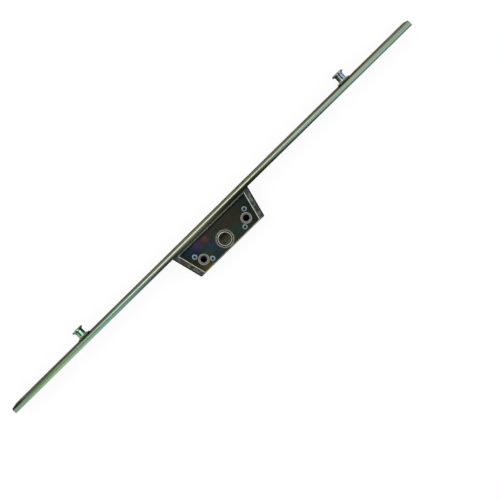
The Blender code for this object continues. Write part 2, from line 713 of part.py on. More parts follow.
def make_drive_hub():
    """The toothed hub: a sector between two journals, with a square hole for the spindle."""
    thickness = TOOTH_FRONT - TOOTH_BACK
    mesh = flat_mesh("drive_hub", [sector_outline()], thickness)
    centre = (TOOTH_FRONT + TOOTH_BACK) / 2
    piece = place("drive_hub", mesh, PARTS, (0.0, -BACKSET, centre), surface=HUB_ZINC)
    piece.rotation_euler = (0.0, 0.0, -math.radians(HUB_REST_DEG))
    smooth(piece)

    face = COVER_FRONT + HUB_PROUD
    rim = face + HUB_RIM_HEIGHT
    round_edge = SEAT_GAP / 2
    journals = turned_mesh("journals", [
        (0.0, rim), (HUB_RIM_RADIUS - round_edge, rim), (HUB_RIM_RADIUS, rim - round_edge),
        (HUB_RIM_RADIUS, face), (HUB_FRONT_JOURNAL_RADIUS - round_edge, face),
        (HUB_FRONT_JOURNAL_RADIUS, face - round_edge), (HUB_FRONT_JOURNAL_RADIUS, 0.0),
        (HUB_BACK_JOURNAL_RADIUS, 0.0), (HUB_BACK_JOURNAL_RADIUS, BODY_BACK), (0.0, BODY_BACK),
    ])
    journal = turn(place("journals", journals, CUTTERS, (0.0, -BACKSET, 0.0)), ROUND_STEPS)
    boolean(piece, as_cutter(journal), "UNION")

    half = SPINDLE_SQUARE / 2
    square = flat_mesh("spindle hole", [rectangle(half, half)], 2 * (rim - BODY_BACK))
    turned_to = math.radians(HUB_REST_FROM_STOP_DEG)
    cut(piece, "spindle hole", square, (0.0, -BACKSET, 0.0), (0.0, 0.0, turned_to))
    mouth = loft_mesh("spindle mouth", [
        (circle(HUB_MOUTH_RADIUS - HUB_MOUTH_DEPTH, ROUND_STEPS), -HUB_MOUTH_DEPTH),
        (circle(HUB_MOUTH_RADIUS + HUB_MOUTH_DEPTH, ROUND_STEPS), HUB_MOUTH_DEPTH),
    ])
    cut(piece, "spindle mouth", mouth, (0.0, -BACKSET, rim))
    return piece


def rack_outline():
    """The rack seen from the cover side, its teeth toward the hub."""
    half_tooth = RACK_PITCH / 4 - TOOTH_PLAY / 2
    lean = math.tan(PRESSURE_ANGLE)
    points = [(-RACK_HALF_LENGTH, BODY_RAIL_FACE), (-RACK_HALF_LENGTH, RACK_ROOT)]
    for tooth in range(RACK_TEETH):
        centre = (tooth - (RACK_TEETH - 1) / 2) * RACK_PITCH
        root = half_tooth + TOOTH_DEDENDUM * lean
        tip = half_tooth - RACK_ADDENDUM * MODULE * lean
        points += [(centre - root, RACK_ROOT), (centre - tip, RACK_TIP)]
        points += [(centre + tip, RACK_TIP), (centre + root, RACK_ROOT)]
    points += [(RACK_HALF_LENGTH, RACK_ROOT), (RACK_HALF_LENGTH, BODY_RAIL_FACE)]
    return points


def make_drive_rack(carriage):
    """The toothed block under the bar."""
    mesh = flat_mesh("drive_rack", [rack_outline()], RACK_FRONT - TOOTH_BACK)
    centre = (RACK_FRONT + TOOTH_BACK) / 2
    piece = place("drive_rack", mesh, PARTS, (0.0, 0.0, centre), surface=RACK_STEEL)
    piece.parent = carriage
    for side in (-1, 1):
        bore = flat_mesh("rack bore", [circle(RACK_RIVET_RADIUS + FIT_GAP, SMALL_STEPS)], 2 * BACKSET)
        cut(piece, "rack bore", bore, (side * RACK_RIVET_POSITION, 0.0, 0.0), FACING_FRONT).parent = carriage
    return piece


def make_rack_rivet(name, position, carriage):
    """A rivet through bar and rack, flush in the bar and headed under the rack."""
    radius = RACK_RIVET_RADIUS
    sink = RACK_RIVET_SINK_RADIUS
    head_top = RACK_ROOT - SEAT_GAP
    flush = BAR_FRONT - FIT_GAP / 2
    profile = [
        (0.0, flush), (sink - FIT_GAP, flush), (radius, flush - (sink - FIT_GAP - radius)), (radius, head_top),
        (RACK_RIVET_HEAD_RADIUS, head_top), (RACK_RIVET_HEAD_RADIUS, head_top - RACK_RIVET_HEAD_HEIGHT / 2),
        (RACK_RIVET_HEAD_FLAT_RADIUS, head_top - RACK_RIVET_HEAD_HEIGHT),
        (0.0, head_top - RACK_RIVET_HEAD_HEIGHT),
    ]
    mesh = turned_mesh(name, profile)
    piece = place(name, mesh, PARTS, (position, 0.0, 0.0), FACING_FRONT, RIVET_STEEL)
    piece.parent = carriage
    return turn(piece, SMALL_STEPS)


def make_handle_bush(name, position):
    """A flanged bush, threaded for the handle's screw."""
    seat = COVER_FRONT + SEAT_GAP
    face = seat + BUSH_FLANGE_HEIGHT
    edge = SEAT_GAP / 2
    profile = [
        (BUSH_THREAD_RADIUS, face - BUSH_MOUTH_DEPTH), (BUSH_MOUTH_RADIUS, face),
        (BUSH_FLANGE_RADIUS - edge, face), (BUSH_FLANGE_RADIUS, face - edge), (BUSH_FLANGE_RADIUS, seat),
        (BUSH_BARREL_RADIUS, seat), (BUSH_BARREL_RADIUS, BODY_BACK), (BUSH_THREAD_RADIUS, BODY_BACK),
    ]
    mesh = turned_mesh(name, profile)
    piece = place(name, mesh, PARTS, (position, -BACKSET, 0.0), surface=BUSH_STEEL)
    return turn(piece, SMALL_STEPS, closed=True)


def make_cover_rivet(name, place_at):
    """A rivet through cover plate and casting, dimpled by the punch that spread it."""
    seat = COVER_FRONT + SEAT_GAP
    face = seat + RIVET_HEAD_HEIGHT
    edge = RIVET_HEAD_HEIGHT / 3
    spread = RIVET_TAIL_RADIUS - RIVET_SHANK_RADIUS
    profile = [
        (0.0, face - RIVET_DIMPLE_DEPTH), (RIVET_DIMPLE_RADIUS, face),
        (RIVET_HEAD_RADIUS - 2 * edge, face), (RIVET_HEAD_RADIUS - edge / 2, face - edge),
        (RIVET_HEAD_RADIUS, seat), (RIVET_SHANK_RADIUS, seat),
        (RIVET_SHANK_RADIUS, BODY_BACK + spread), (RIVET_TAIL_RADIUS, BODY_BACK), (0.0, BODY_BACK),
    ]
    mesh = turned_mesh(name, profile)
    piece = place(name, mesh, PARTS, (*place_at, 0.0), surface=RIVET_ZINC)
    return turn(piece, SMALL_STEPS)


def make_cam_stud(name, position, carriage):
    """The pin of a cam: riveted in the bar, with a collar in the slot and a spread tip."""
    sunk = FIT_GAP / 2
    tail = BAR_BACK + sunk
    spread = STUD_TAIL_RADIUS - FIT_GAP - STUD_RADIUS
    collar_back = BAR_FRONT + FIT_GAP
    collar_front = WASHER_BACK - SEAT_GAP
    tip = STUD_TIP
    head_back = tip - STUD_HEAD_HEIGHT
    profile = [
        (0.0, tip - STUD_DIMPLE_RADIUS), (STUD_DIMPLE_RADIUS, tip), (STUD_HEAD_RADIUS - sunk, tip),
        (STUD_HEAD_RADIUS, head_back + sunk), (STUD_RADIUS, head_back), (STUD_RADIUS, collar_front),
        (STUD_COLLAR_RADIUS, collar_front), (STUD_COLLAR_RADIUS, collar_back), (STUD_RADIUS, collar_back),
        (STUD_RADIUS, tail + spread), (STUD_RADIUS + spread, tail), (0.0, tail),
    ]
    mesh = turned_mesh(name, profile)
    piece = place(name, mesh, PARTS, (position, 0.0, 0.0), FACING_FRONT, STUD_STEEL)
    piece.parent = carriage
    return turn(piece, SMALL_STEPS)


def make_cam_washer(name, position, carriage):
    """The washer that bridges the slot under a roller."""
    bore = STUD_RADIUS + FIT_GAP
    edge = FIT_GAP
    profile = [
        (bore, WASHER_FRONT), (WASHER_RADIUS - edge, WASHER_FRONT), (WASHER_RADIUS, WASHER_FRONT - edge),
        (WASHER_RADIUS, WASHER_BACK), (bore, WASHER_BACK),
    ]
    mesh = turned_mesh(name, profile)
    piece = place(name, mesh, PARTS, (position, 0.0, 0.0), FACING_FRONT, WASHER_STEEL)
    piece.parent = carriage
    return turn(piece, ROUND_STEPS, closed=True)


def make_cam_roller(name, position, carriage):
    """A turned roller with a wide head, free to turn on its stud."""
    bore = STUD_RADIUS + RUNNING_GAP
    foot = WASHER_FRONT + RUNNING_GAP
    neck_top = CAM_HEIGHT - CAM_HEAD_HEIGHT - CAM_NECK_TAPER
    socket = CAM_HEIGHT - CAM_SOCKET_DEPTH
    edge = CAM_HEAD_HEIGHT / 4
    profile = [
        (bore, socket), (CAM_SOCKET_RADIUS, socket), (CAM_SOCKET_RADIUS, CAM_HEIGHT),
        (CAM_HEAD_RADIUS - edge, CAM_HEIGHT), (CAM_HEAD_RADIUS, CAM_HEIGHT - edge),
        (CAM_HEAD_RADIUS, CAM_HEIGHT - CAM_HEAD_HEIGHT + edge),
        (CAM_HEAD_RADIUS - edge, CAM_HEIGHT - CAM_HEAD_HEIGHT),
        (CAM_NECK_RADIUS + edge / 2, neck_top + edge / 2), (CAM_NECK_RADIUS, neck_top),
        (CAM_NECK_RADIUS, foot + 2 * CAM_FOOT_HEIGHT),
        (CAM_FOOT_RADIUS, foot + CAM_FOOT_HEIGHT), (CAM_FOOT_RADIUS, foot), (bore, foot),
    ]
    mesh = turned_mesh(name, profile)
    piece = place(name, mesh, PARTS, (position, 0.0, 0.0), FACING_FRONT, ROLLER_STEEL)
    piece.parent = carriage
    return turn(piece, ROUND_STEPS, closed=True)


PARTS = collection("window espagnolette gearbox")
CUTTERS = collection("cutters")
RAIL_STEEL = finish_material("passivated steel", (0.33, 0.44, 0.36), 0.28)
BAR_STEEL = finish_material("green passivated steel", (0.22, 0.50, 0.33), 0.3)
COVER_STEEL = finish_material("dark cover steel", (0.03, 0.035, 0.035), 0.25)
ZINC = finish_material("cast zinc", (0.14, 0.16, 0.14), 0.55)
HUB_ZINC = finish_material("hub zinc", (0.25, 0.25, 0.21), 0.35)
RACK_STEEL = finish_material("rack steel", (0.4, 0.4, 0.38), 0.35)
RIVET_STEEL = finish_material("rivet steel", (0.45, 0.45, 0.43), 0.35)
RIVET_ZINC = finish_material("spread rivet", (0.28, 0.37, 0.40), 0.4)
BUSH_STEEL = finish_material("bush steel", (0.33, 0.32, 0.31), 0.3)
STUD_STEEL = finish_material("stud steel", (0.2, 0.3, 0.3), 0.35)
WASHER_STEEL = finish_material("washer steel", (0.14, 0.13, 0.09), 0.35)
ROLLER_STEEL = finish_material("roller steel", (0.3, 0.42, 0.45), 0.25)

make_faceplate()
make_gearbox_body()
make_cover_plate()
make_drive_hub()
for label, (_, along) in zip(("lower", "upper"), bush_positions()):
    make_handle_bush("handle_bush_" + label, along)
for number, spot in enumerate(rivet_positions(), start=1):
    make_cover_rivet("cover_rivet_" + str(number), spot)

slide = bpy.data.objects.new("slide", None)
slide.location = (BAR_SHIFT, 0.0, 0.0)
PARTS.objects.link(slide)
make_slide_bar(slide)
make_drive_rack(slide)
for label, sign in (("lower", -1), ("upper", 1)):
    make_rack_rivet("rack_rivet_" + label, sign * RACK_RIVET_POSITION, slide)
    make_cam_stud("cam_stud_" + label, sign * CAM_POSITION, slide)
    make_cam_washer("cam_washer_" + label, sign * CAM_POSITION, slide)
    make_cam_roller("cam_roller_" + label, sign * CAM_POSITION, slide)
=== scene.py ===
import math

import bmesh
import bpy
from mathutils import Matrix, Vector


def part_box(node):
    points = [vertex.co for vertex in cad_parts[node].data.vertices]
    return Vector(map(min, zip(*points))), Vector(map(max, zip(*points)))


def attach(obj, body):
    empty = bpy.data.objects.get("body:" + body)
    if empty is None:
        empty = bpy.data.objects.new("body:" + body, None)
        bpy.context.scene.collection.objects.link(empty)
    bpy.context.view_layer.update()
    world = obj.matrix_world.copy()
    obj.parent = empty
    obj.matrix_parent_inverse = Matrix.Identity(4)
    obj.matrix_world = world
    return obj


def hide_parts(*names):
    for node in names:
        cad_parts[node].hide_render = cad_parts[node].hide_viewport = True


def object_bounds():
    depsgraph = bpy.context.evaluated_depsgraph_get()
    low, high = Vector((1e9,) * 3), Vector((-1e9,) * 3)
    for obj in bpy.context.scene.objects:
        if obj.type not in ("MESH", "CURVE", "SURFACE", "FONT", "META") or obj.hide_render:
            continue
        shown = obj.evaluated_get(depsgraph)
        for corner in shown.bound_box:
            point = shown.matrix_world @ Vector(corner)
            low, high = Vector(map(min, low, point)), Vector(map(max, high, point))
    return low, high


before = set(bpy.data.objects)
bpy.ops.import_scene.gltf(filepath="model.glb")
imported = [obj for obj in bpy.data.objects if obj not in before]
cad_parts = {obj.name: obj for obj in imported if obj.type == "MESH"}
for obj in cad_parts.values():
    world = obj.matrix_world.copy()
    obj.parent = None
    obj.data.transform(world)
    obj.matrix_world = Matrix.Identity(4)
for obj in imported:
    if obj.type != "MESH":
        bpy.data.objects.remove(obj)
cad_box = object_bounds()

# Faceplate
# The strip that shows in the sash edge: 1.5 mm steel, punched and folded into a shallow channel.
# It is zinc plated and passivated in green, teal and olive bands. A painted highlight lightens the
# fold, the turn of the fold into the front face is painted dark brown as a reflection, and dark
# painted reflections lie on the flange beside the casting and along its rim.
MM = 0.001


def tone(red, green, blue):
    """A colour read off a swatch, from 0 to 255, as the linear value that a shader takes."""
    shares = [level / 255 for level in (red, green, blue)]
    linear = [s / 12.92 if s <= 0.04045 else ((s + 0.055) / 1.055) ** 2.4 for s in shares]
    return (*linear, 1.0)


def grey(level):
    """A grey of a linear level."""
    return (level, level, level, 1.0)


class Finish:
    """The surface of a piece, built up around one shader, with its places in millimetres."""

    def __init__(self, name, roughness, metallic=1.0, grazing=None):
        self.material = bpy.data.materials.new(name)
        self.material.use_nodes = True
        self.tree = self.material.node_tree
        self.shader = self.tree.nodes["Principled BSDF"]
        self.shader.inputs["Metallic"].default_value = metallic
        self.shader.inputs["Roughness"].default_value = roughness
        if grazing is not None:
            self.shader.inputs["Specular Tint"].default_value = grazing
        metres = self.node("ShaderNodeTexCoord").outputs["Object"]
        scaled = self.node("ShaderNodeMapping", Vector=metres, Scale=(1 / MM, 1 / MM, 1 / MM))
        self.place = scaled.outputs[0]
        self.x, self.y, self.z = self.node("ShaderNodeSeparateXYZ", Vector=self.place).outputs

    def put(self, socket, value):
        """Feed a socket from another node, or with a constant."""
        if isinstance(value, bpy.types.NodeSocket):
            self.tree.links.new(value, socket)
        else:
            socket.default_value = value

    def node(self, kind, **values):
        """A node with its named inputs fed."""
        made = self.tree.nodes.new(kind)
        for name, value in values.items():
            self.put(made.inputs[name.replace("_", " ")], value)
        return made

    def sum(self, operation, first, second=0.0):
        """One sum on two values."""
        made = self.tree.nodes.new("ShaderNodeMath")
        made.operation = operation
        self.put(made.inputs[0], first)
        self.put(made.inputs[1], second)
        return made.outputs[0]

    def both(self, first, second):
        """Two shares multiplied: full only where both are."""
        return self.sum("MULTIPLY", first, second)

    def share(self, value, start, end):
        """How far a value has gone from start to end, eased, from 0 to 1."""
        made = self.node("ShaderNodeMapRange", Value=value, From_Min=start, From_Max=end)
        made.interpolation_type = "SMOOTHSTEP"
        return made.outputs["Result"]

    def scaled(self, value, low, high):
        """A value from 0 to 1 stretched between two ends."""
        return self.node("ShaderNodeMapRange", Value=value, To_Min=low, To_Max=high).outputs["Result"]

    def bands(self, value, stops, soft=False):
        """Colours laid along a value, as pairs of a place and a colour."""
        first, last = stops[0][0], stops[-1][0]
        made = self.tree.nodes.new("ShaderNodeValToRGB")
        made.color_ramp.interpolation = "B_SPLINE" if soft else "LINEAR"
        points = made.color_ramp.elements
        points.remove(points[1])
        points[0].position = 0.0
        points[0].color = stops[0][1]
        for at, colour in stops[1:]:
            points.new((at - first) / (last - first)).color = colour
        spread = self.node("ShaderNodeMapRange", Value=value, From_Min=first, From_Max=last)
        self.put(made.inputs[0], spread.outputs["Result"])
        return made.outputs["Color"]

    def levels(self, value, stops):
        """Grey levels laid along a value, as pairs of a place and a level."""
        return self.bands(value, [(at, grey(level)) for at, level in stops])

    def mix(self, share, first, second, blend="MIX"):
        """Two colours mixed, or blended in another way."""
        made = self.tree.nodes.new("ShaderNodeMix")
        made.data_type = "RGBA"
        made.blend_type = blend
        # The colour sockets come after those for numbers and vectors
        first_colour, second_colour, result = made.inputs[6], made.inputs[7], made.outputs[2]
        self.put(made.inputs[0], share)
        self.put(first_colour, first)
        self.put(second_colour, second)
        return result

    def cloud(self, waves, detail=2.0):
        """Soft noise, with its waves to a millimetre along X, Y and Z."""
        spread = self.node("ShaderNodeMapping", Vector=self.place, Scale=waves)
        noise = self.node("ShaderNodeTexNoise", Vector=spread.outputs[0], Scale=1.0, Detail=detail)
        return noise.outputs[0]

    def from_axis(self, centre, across=(1.0, 1.0, 0.0)):
        """Distance from an axis through a centre in metres; across has a 0 for the way it runs."""
        moved = self.tree.nodes.new("ShaderNodeVectorMath")
        moved.operation = "SUBTRACT"
        self.put(moved.inputs[0], self.place)
        self.put(moved.inputs[1], [value / MM for value in centre])
        laid = self.tree.nodes.new("ShaderNodeVectorMath")
        laid.operation = "MULTIPLY"
        self.put(laid.inputs[0], moved.outputs[0])
        self.put(laid.inputs[1], across)
        length = self.tree.nodes.new("ShaderNodeVectorMath")
        length.operation = "LENGTH"
        self.put(length.inputs[0], laid.outputs[0])
        return length.outputs["Value"]

    def colour(self, value, worn=0.12, streaks=(0.4, 0.4, 0.4)):
        """Set the colour, a little uneven as a plating bath leaves it."""
        uneven = self.scaled(self.cloud(streaks, 4.0), 1.0 - 2 * worn, 1.0 + 2 * worn)
        self.put(self.shader.inputs["Base Color"], self.mix(1.0, value, uneven, "MULTIPLY"))

    def gloss(self, value, low, high):
        """Roughness between two ends as a value goes from 0 to 1."""
        self.put(self.shader.inputs["Roughness"], self.scaled(value, low, high))

    def relief(self, height, depth, strength=1.0):
        """A bump, with the depth in millimetres that a height of 1 stands for."""
        made = self.node("ShaderNodeBump", Height=height, Distance=depth * MM, Strength=strength)
        self.put(self.shader.inputs["Normal"], made.outputs[0])


SHARP_EDGE = math.radians(32)
FLAT_WITHIN = math.radians(0.5)
WELD = 0.002 * MM


def smooth_shading(mesh):
    """Round stretches shaded smooth, with the edges left sharp."""
    mesh.shade_smooth()
    mesh.set_sharp_from_angle(angle=SHARP_EDGE)


def own_shape(node, name):
    """A CAD node's shape with its loose triangles joined in pairs where they are flat."""
    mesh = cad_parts[node].data.copy()
    mesh.attributes.remove(mesh.attributes["custom_normal"])
    shape = bmesh.new()
    shape.from_mesh(mesh)
    bmesh.ops.remove_doubles(shape, verts=shape.verts, dist=WELD)
    bmesh.ops.join_triangles(shape, faces=shape.faces, angle_face_threshold=FLAT_WITHIN,
                             angle_shape_threshold=math.pi)
    shape.to_mesh(mesh)
    shape.free()
    smooth_shading(mesh)
    return bpy.data.objects.new(name, mesh)


def break_edges(piece, width, segments=2):
    """Break a piece's edges, as tumbling and plating leave them; the width is in millimetres."""
    step = piece.modifiers.new("broken edges", "BEVEL")
    step.width = width * MM
    step.segments = segments
    step.limit_method = "ANGLE"
    step.angle_limit = SHARP_EDGE
    step.use_clamp_overlap = False
    step.loop_slide = False
    step.harden_normals = True


def fit(piece, body, node, finish):
    """Put a finished piece in the place of its CAD node."""
    bpy.context.scene.collection.objects.link(piece)
    piece.data.materials.clear()
    piece.data.materials.append(finish.material)
    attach(piece, body)
    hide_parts(node)


# Millimetres behind the front face where one tone starts to give way, and where it has
TURN_TO_FRONT = (-0.3, -0.1)
FOLD_TO_TURN = (-0.8, -0.55)
EDGE_TO_FOLD = (-2.1, -1.35)
EDGE_TO_TIP = (-2.1, -3.0)
TIP_TO_RIM = (-3.1, -3.7)
BAND_DRIFT = 10.0
LINE_WANDER = 0.12
SHEET = 1.5
HALF_WIDTH = 8.0
INNER_HALF_WIDTH = HALF_WIDTH - SHEET
rail = Finish("passivated zinc on folded steel", 0.28, grazing=(0.23, 0.16, 0.07, 1.0))
drift = rail.scaled(rail.cloud((0.022, 0.2, 0.2), 3.0), -BAND_DRIFT, BAND_DRIFT)
along = rail.sum("ADD", rail.x, drift)
# Tones of the flange beside the fold: plating bands, with a dark painted reflection in the middle beside
# the casting
edge_tones_and_reflection = rail.bands(along, [
    (-200, tone(138, 160, 150)), (-188, tone(104, 138, 116)), (-172, tone(92, 138, 88)),
    (-150, tone(104, 148, 84)), (-115, tone(76, 132, 104)), (-75, tone(94, 130, 130)),
    (-40, tone(108, 126, 112)), (-12, tone(136, 136, 114)), (12, tone(52, 54, 38)),
    (40, tone(46, 52, 36)), (64, tone(98, 108, 92)), (98, tone(96, 158, 126)),
    (140, tone(122, 166, 138)), (200, tone(108, 152, 120)),
], soft=True)
# Tones of the fold: plating bands, lightened with a painted highlight along the fold
fold_tones_and_highlight = rail.bands(along, [
    (-200, tone(82, 100, 76)), (-165, tone(94, 118, 74)), (-115, tone(114, 136, 112)),
    (-75, tone(124, 140, 120)), (-30, tone(130, 134, 120)), (20, tone(136, 136, 120)),
    (60, tone(144, 150, 130)), (100, tone(144, 162, 140)), (150, tone(144, 160, 138)),
    (200, tone(136, 154, 128)),
], soft=True)
# Tones of the flange towards its tip: plating bands, with dark painted reflections in the middle beside
# the casting
tip_tones_and_reflection = rail.bands(along, [
    (-200, tone(114, 146, 118)), (-150, tone(160, 184, 142)), (-115, tone(130, 162, 152)),
    (-80, tone(106, 136, 136)), (-58, tone(44, 56, 48)), (-36, tone(36, 44, 34)),
    (-12, tone(78, 82, 66)), (14, tone(22, 28, 18)), (40, tone(22, 28, 18)),
    (66, tone(46, 54, 44)), (104, tone(84, 118, 98)), (150, tone(144, 166, 148)),
    (200, tone(130, 160, 138)),
], soft=True)
front_bands = rail.bands(along, [
    (-200, tone(165, 180, 195)), (-162, tone(134, 140, 108)), (-140, tone(104, 102, 74)),
    (-108, tone(116, 112, 80)), (-80, tone(124, 154, 134)), (-40, tone(160, 162, 128)),
    (30, tone(150, 152, 122)), (75, tone(136, 154, 124)), (108, tone(120, 142, 112)),
    (122, tone(112, 104, 74)), (150, tone(112, 104, 74)), (166, tone(142, 144, 116)),
    (200, tone(150, 164, 158)),
], soft=True)
inner_bands = rail.bands(rail.x, [
    (-200, tone(112, 130, 116)), (0, tone(96, 104, 92)), (200, tone(110, 128, 120)),
])
wander = rail.scaled(rail.cloud((0.03, 0.3, 0.3), 2.0), -LINE_WANDER, LINE_WANDER)
behind = rail.sum("ADD", rail.y, wander)
zinc = rail.mix(rail.share(behind, *EDGE_TO_TIP), edge_tones_and_reflection, tip_tones_and_reflection)
# A dark painted reflection along the flange's rim, right of the middle, in the rim tones below
to_right = rail.share(along, 10.0, 60.0)
dark_rim_reflection = rail.both(rail.share(behind, *TIP_TO_RIM), to_right)
rim_bands = rail.bands(along, [
    (30, tone(30, 38, 26)), (80, tone(26, 40, 30)), (112, tone(34, 58, 44)), (132, tone(64, 94, 74)),
])
zinc = rail.mix(dark_rim_reflection, zinc, rim_bands)
pale_line = rail.levels(behind, [(-2.8, 0.0), (-2.6, 0.8), (-2.35, 0.8), (-2.15, 0.0)])
zinc = rail.mix(rail.both(pale_line, rail.share(along, 35.0, 95.0)), zinc, tone(160, 168, 168))
zinc = rail.mix(rail.share(behind, *EDGE_TO_FOLD), zinc, fold_tones_and_highlight)
# The turn of the fold into the front face, painted dark brown as a reflection, darker towards the left
# end
left_end = rail.share(rail.x, -125.0, -185.0)
turn_reflection = rail.mix(left_end, tone(104, 110, 94), tone(60, 70, 44))
zinc = rail.mix(rail.share(rail.y, *FOLD_TO_TURN), zinc, turn_reflection)
zinc = rail.mix(rail.share(rail.y, *TURN_TO_FRONT), zinc, front_bands)
corner = rail.both(rail.share(rail.x, -186.0, -194.0), rail.share(rail.z, 4.5, 6.5))
zinc = rail.mix(rail.both(corner, rail.share(rail.y, -1.3, -0.9)), zinc, tone(40, 40, 30))
between_folds = rail.share(rail.sum("ABSOLUTE", rail.z), INNER_HALF_WIDTH + 0.2, INNER_HALF_WIDTH)
inside = rail.both(between_folds, rail.share(rail.y, 0.3 - SHEET, 0.1 - SHEET))
rail.colour(rail.mix(inside, zinc, inner_bands), 0.14, (0.05, 2.2, 2.2))
rail.gloss(rail.cloud((0.1, 1.5, 1.5), 3.0), 0.18, 0.34)
rail.relief(rail.cloud((0.04, 4.0, 4.0), 3.0), 0.02, 0.5)
faceplate = own_shape("faceplate", "faceplate_channel")
break_edges(faceplate, 0.12)
fit(faceplate, "case", "faceplate", rail)

# Sliding bar
# A flat bar of 2 mm steel that slides behind the faceplate, blanked with one square end and one
# round end, slotted for the fixing screws. It is plated green and rubbed brighter where it slides.
bar = Finish("green passivated bar steel", 0.3, grazing=tone(90, 96, 60))
bar_bands = bar.bands(bar.x, [
    (-140, tone(104, 158, 124)), (-90, tone(120, 164, 122)), (-30, tone(118, 146, 112)),
    (40, tone(110, 150, 128)), (100, tone(98, 162, 132)), (152, tone(116, 172, 146)),
], soft=True)
rubbed = bar.share(bar.cloud((0.02, 1.2, 1.2), 3.0), 0.5, 0.72)
bar.colour(bar.mix(rubbed, bar_bands, tone(166, 184, 164)), 0.12, (0.05, 2.0, 2.0))
bar.gloss(bar.cloud((0.1, 2.0, 2.0), 3.0), 0.22, 0.4)
bar.relief(bar.cloud((0.04, 5.0, 5.0), 3.0), 0.02, 0.5)
slide_bar = own_shape("slide_bar", "slide_bar_blank")
break_edges(slide_bar, 0.1)
fit(slide_bar, "slide", "slide_bar", bar)

# Cam studs
# A turned steel pin stands in the bar for each cam. Its tail is riveted into the bar from behind,
# its collar runs in the faceplate's slot, and its tip is spread over the roller by a round punch.
UP = Vector((0.0, 0.0, 1.0))
OUT = Vector((0.0, 1.0, 0.0))
POLE_WELD = 0.0005 * MM
WIDE_STEPS = 96
SMALL_STEPS = 64


def turned(name, profile, centre, axis, steps=WIDE_STEPS, ring=False):
    """A lathe-turned piece: pairs of radius and height along its axis in millimetres, spun."""
    across = axis.orthogonal().normalized()
    shape = bmesh.new()
    section = [shape.verts.new(centre + (across * radius + axis * height) * MM)
               for radius, height in profile]
    pairs = list(zip(section, section[1:]))
    if ring:
        pairs.append((section[-1], section[0]))
    edges = [shape.edges.new(pair) for pair in pairs]
    bmesh.ops.spin(shape, geom=section + edges, cent=centre, axis=axis, angle=math.tau,
                   steps=steps, use_merge=True)
    bmesh.ops.remove_doubles(shape, verts=shape.verts, dist=POLE_WELD)
    bmesh.ops.recalc_face_normals(shape, faces=shape.faces)
    mesh = bpy.data.meshes.new(name)
    shape.to_mesh(mesh)
    shape.free()
    smooth_shading(mesh)
    return bpy.data.objects.new(name, mesh)


def cam_axis(label):
    """A point on a cam's axis, level with the front face."""
    low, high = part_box("cam_washer_" + label)
    return Vector(((low.x + high.x) / 2, 0.0, (low.z + high.z) / 2))


STUD_SHANK = 1.8
STUD_COLLAR = 3.5
STUD_COLLAR_TOP = 0.05
STUD_COLLAR_FOOT = -1.45
STUD_TAIL = 2.7
STUD_TAIL_SINK = 0.9
STUD_TIP = 2.1
STUD_TIP_HEIGHT = 0.7
# The punch mark's radii and depths
STUD_PUNCH_MARK = [(0.0, 0.95), (0.45, 0.8), (0.95, 0.25), (1.15, 0.0)]
pin = Finish("dark passivated pin steel", 0.34)
pin_cloud = pin.cloud((0.5, 0.5, 0.5), 3.0)
pin.colour(pin.bands(pin_cloud, [
    (0.3, tone(84, 112, 104)), (0.5, tone(116, 140, 138)), (0.7, tone(98, 104, 132)),
]))
pin.gloss(pin_cloud, 0.26, 0.42)
pin.relief(pin.cloud((3.0, 3.0, 3.0)), 0.03, 0.4)
for label in ("lower", "upper"):
    low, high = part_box("cam_stud_" + label)
    tail, tip = low.y / MM, high.y / MM
    profile = [(radius, tip - depth) for radius, depth in STUD_PUNCH_MARK] + [
        (STUD_TIP - 0.35, tip), (STUD_TIP - 0.05, tip - 0.2), (STUD_TIP, tip - STUD_TIP_HEIGHT),
        (STUD_SHANK, tip - STUD_TIP_HEIGHT), (STUD_SHANK, STUD_COLLAR_TOP),
        (STUD_COLLAR, STUD_COLLAR_TOP), (STUD_COLLAR, STUD_COLLAR_FOOT),
        (STUD_SHANK, STUD_COLLAR_FOOT), (STUD_SHANK, tail + STUD_TAIL_SINK),
        (STUD_TAIL, tail), (0.0, tail),
    ]
    stud = turned("cam_stud_pin_" + label, profile, cam_axis(label), OUT, SMALL_STEPS)
    break_edges(stud, 0.06, 1)
    fit(stud, "slide", "cam_stud_" + label, pin)

# Drive rack
# A toothed steel block riveted under the bar. Its six teeth are broached, so fine cuts run
# across them, and their roots are darkened with painted shade.
# Millimetres behind the front face where the painted shade at the teeth's roots begins, and where it is
# full
ROOT_SHADE = (-8.6, -7.2)
rack = Finish("broached rack steel", 0.36)
root_shade = rack.share(rack.y, *ROOT_SHADE)
rack.colour(rack.mix(root_shade, tone(158, 158, 150), tone(112, 110, 98)), 0.1, (1.0, 1.0, 0.1))
rack.gloss(rack.cloud((2.0, 2.0, 0.1)), 0.26, 0.44)
rack.relief(rack.cloud((6.0, 6.0, 0.15)), 0.02, 0.5)
drive_rack = own_shape("drive_rack", "drive_rack_block")
break_edges(drive_rack, 0.08, 1)
fit(drive_rack, "slide", "drive_rack", rack)

# Rack rivets
# Two plain steel rivets hold the rack to the bar. They are flush in the bar, and their heads
# lie under the rack.
rivet = Finish("plain rivet steel", 0.34)
rivet.colour(rivet.bands(rivet.cloud((0.8, 0.8, 0.8)), [
    (0.3, tone(150, 150, 142)), (0.7, tone(176, 176, 170)),
]))
rivet.gloss(rivet.cloud((2.0, 2.0, 2.0)), 0.26, 0.42)
for label in ("lower", "upper"):
    rack_rivet = own_shape("rack_rivet_" + label, "rack_rivet_headed_" + label)
    break_edges(rack_rivet, 0.06, 1)
    fit(rack_rivet, "slide", "rack_rivet_" + label, rivet)

# Gearbox casting
# A pressure-cast zinc box with slanted ends, open to the cover. Its two lugs go through the
# faceplate and are staked with a cross punch. The skin is matte and grey green, a little pitted.
# Next to the faceplate a dark band is painted shade in the gap, and a pale line on the ledge is a
# painted highlight.
END_SLOPE = math.radians(14)
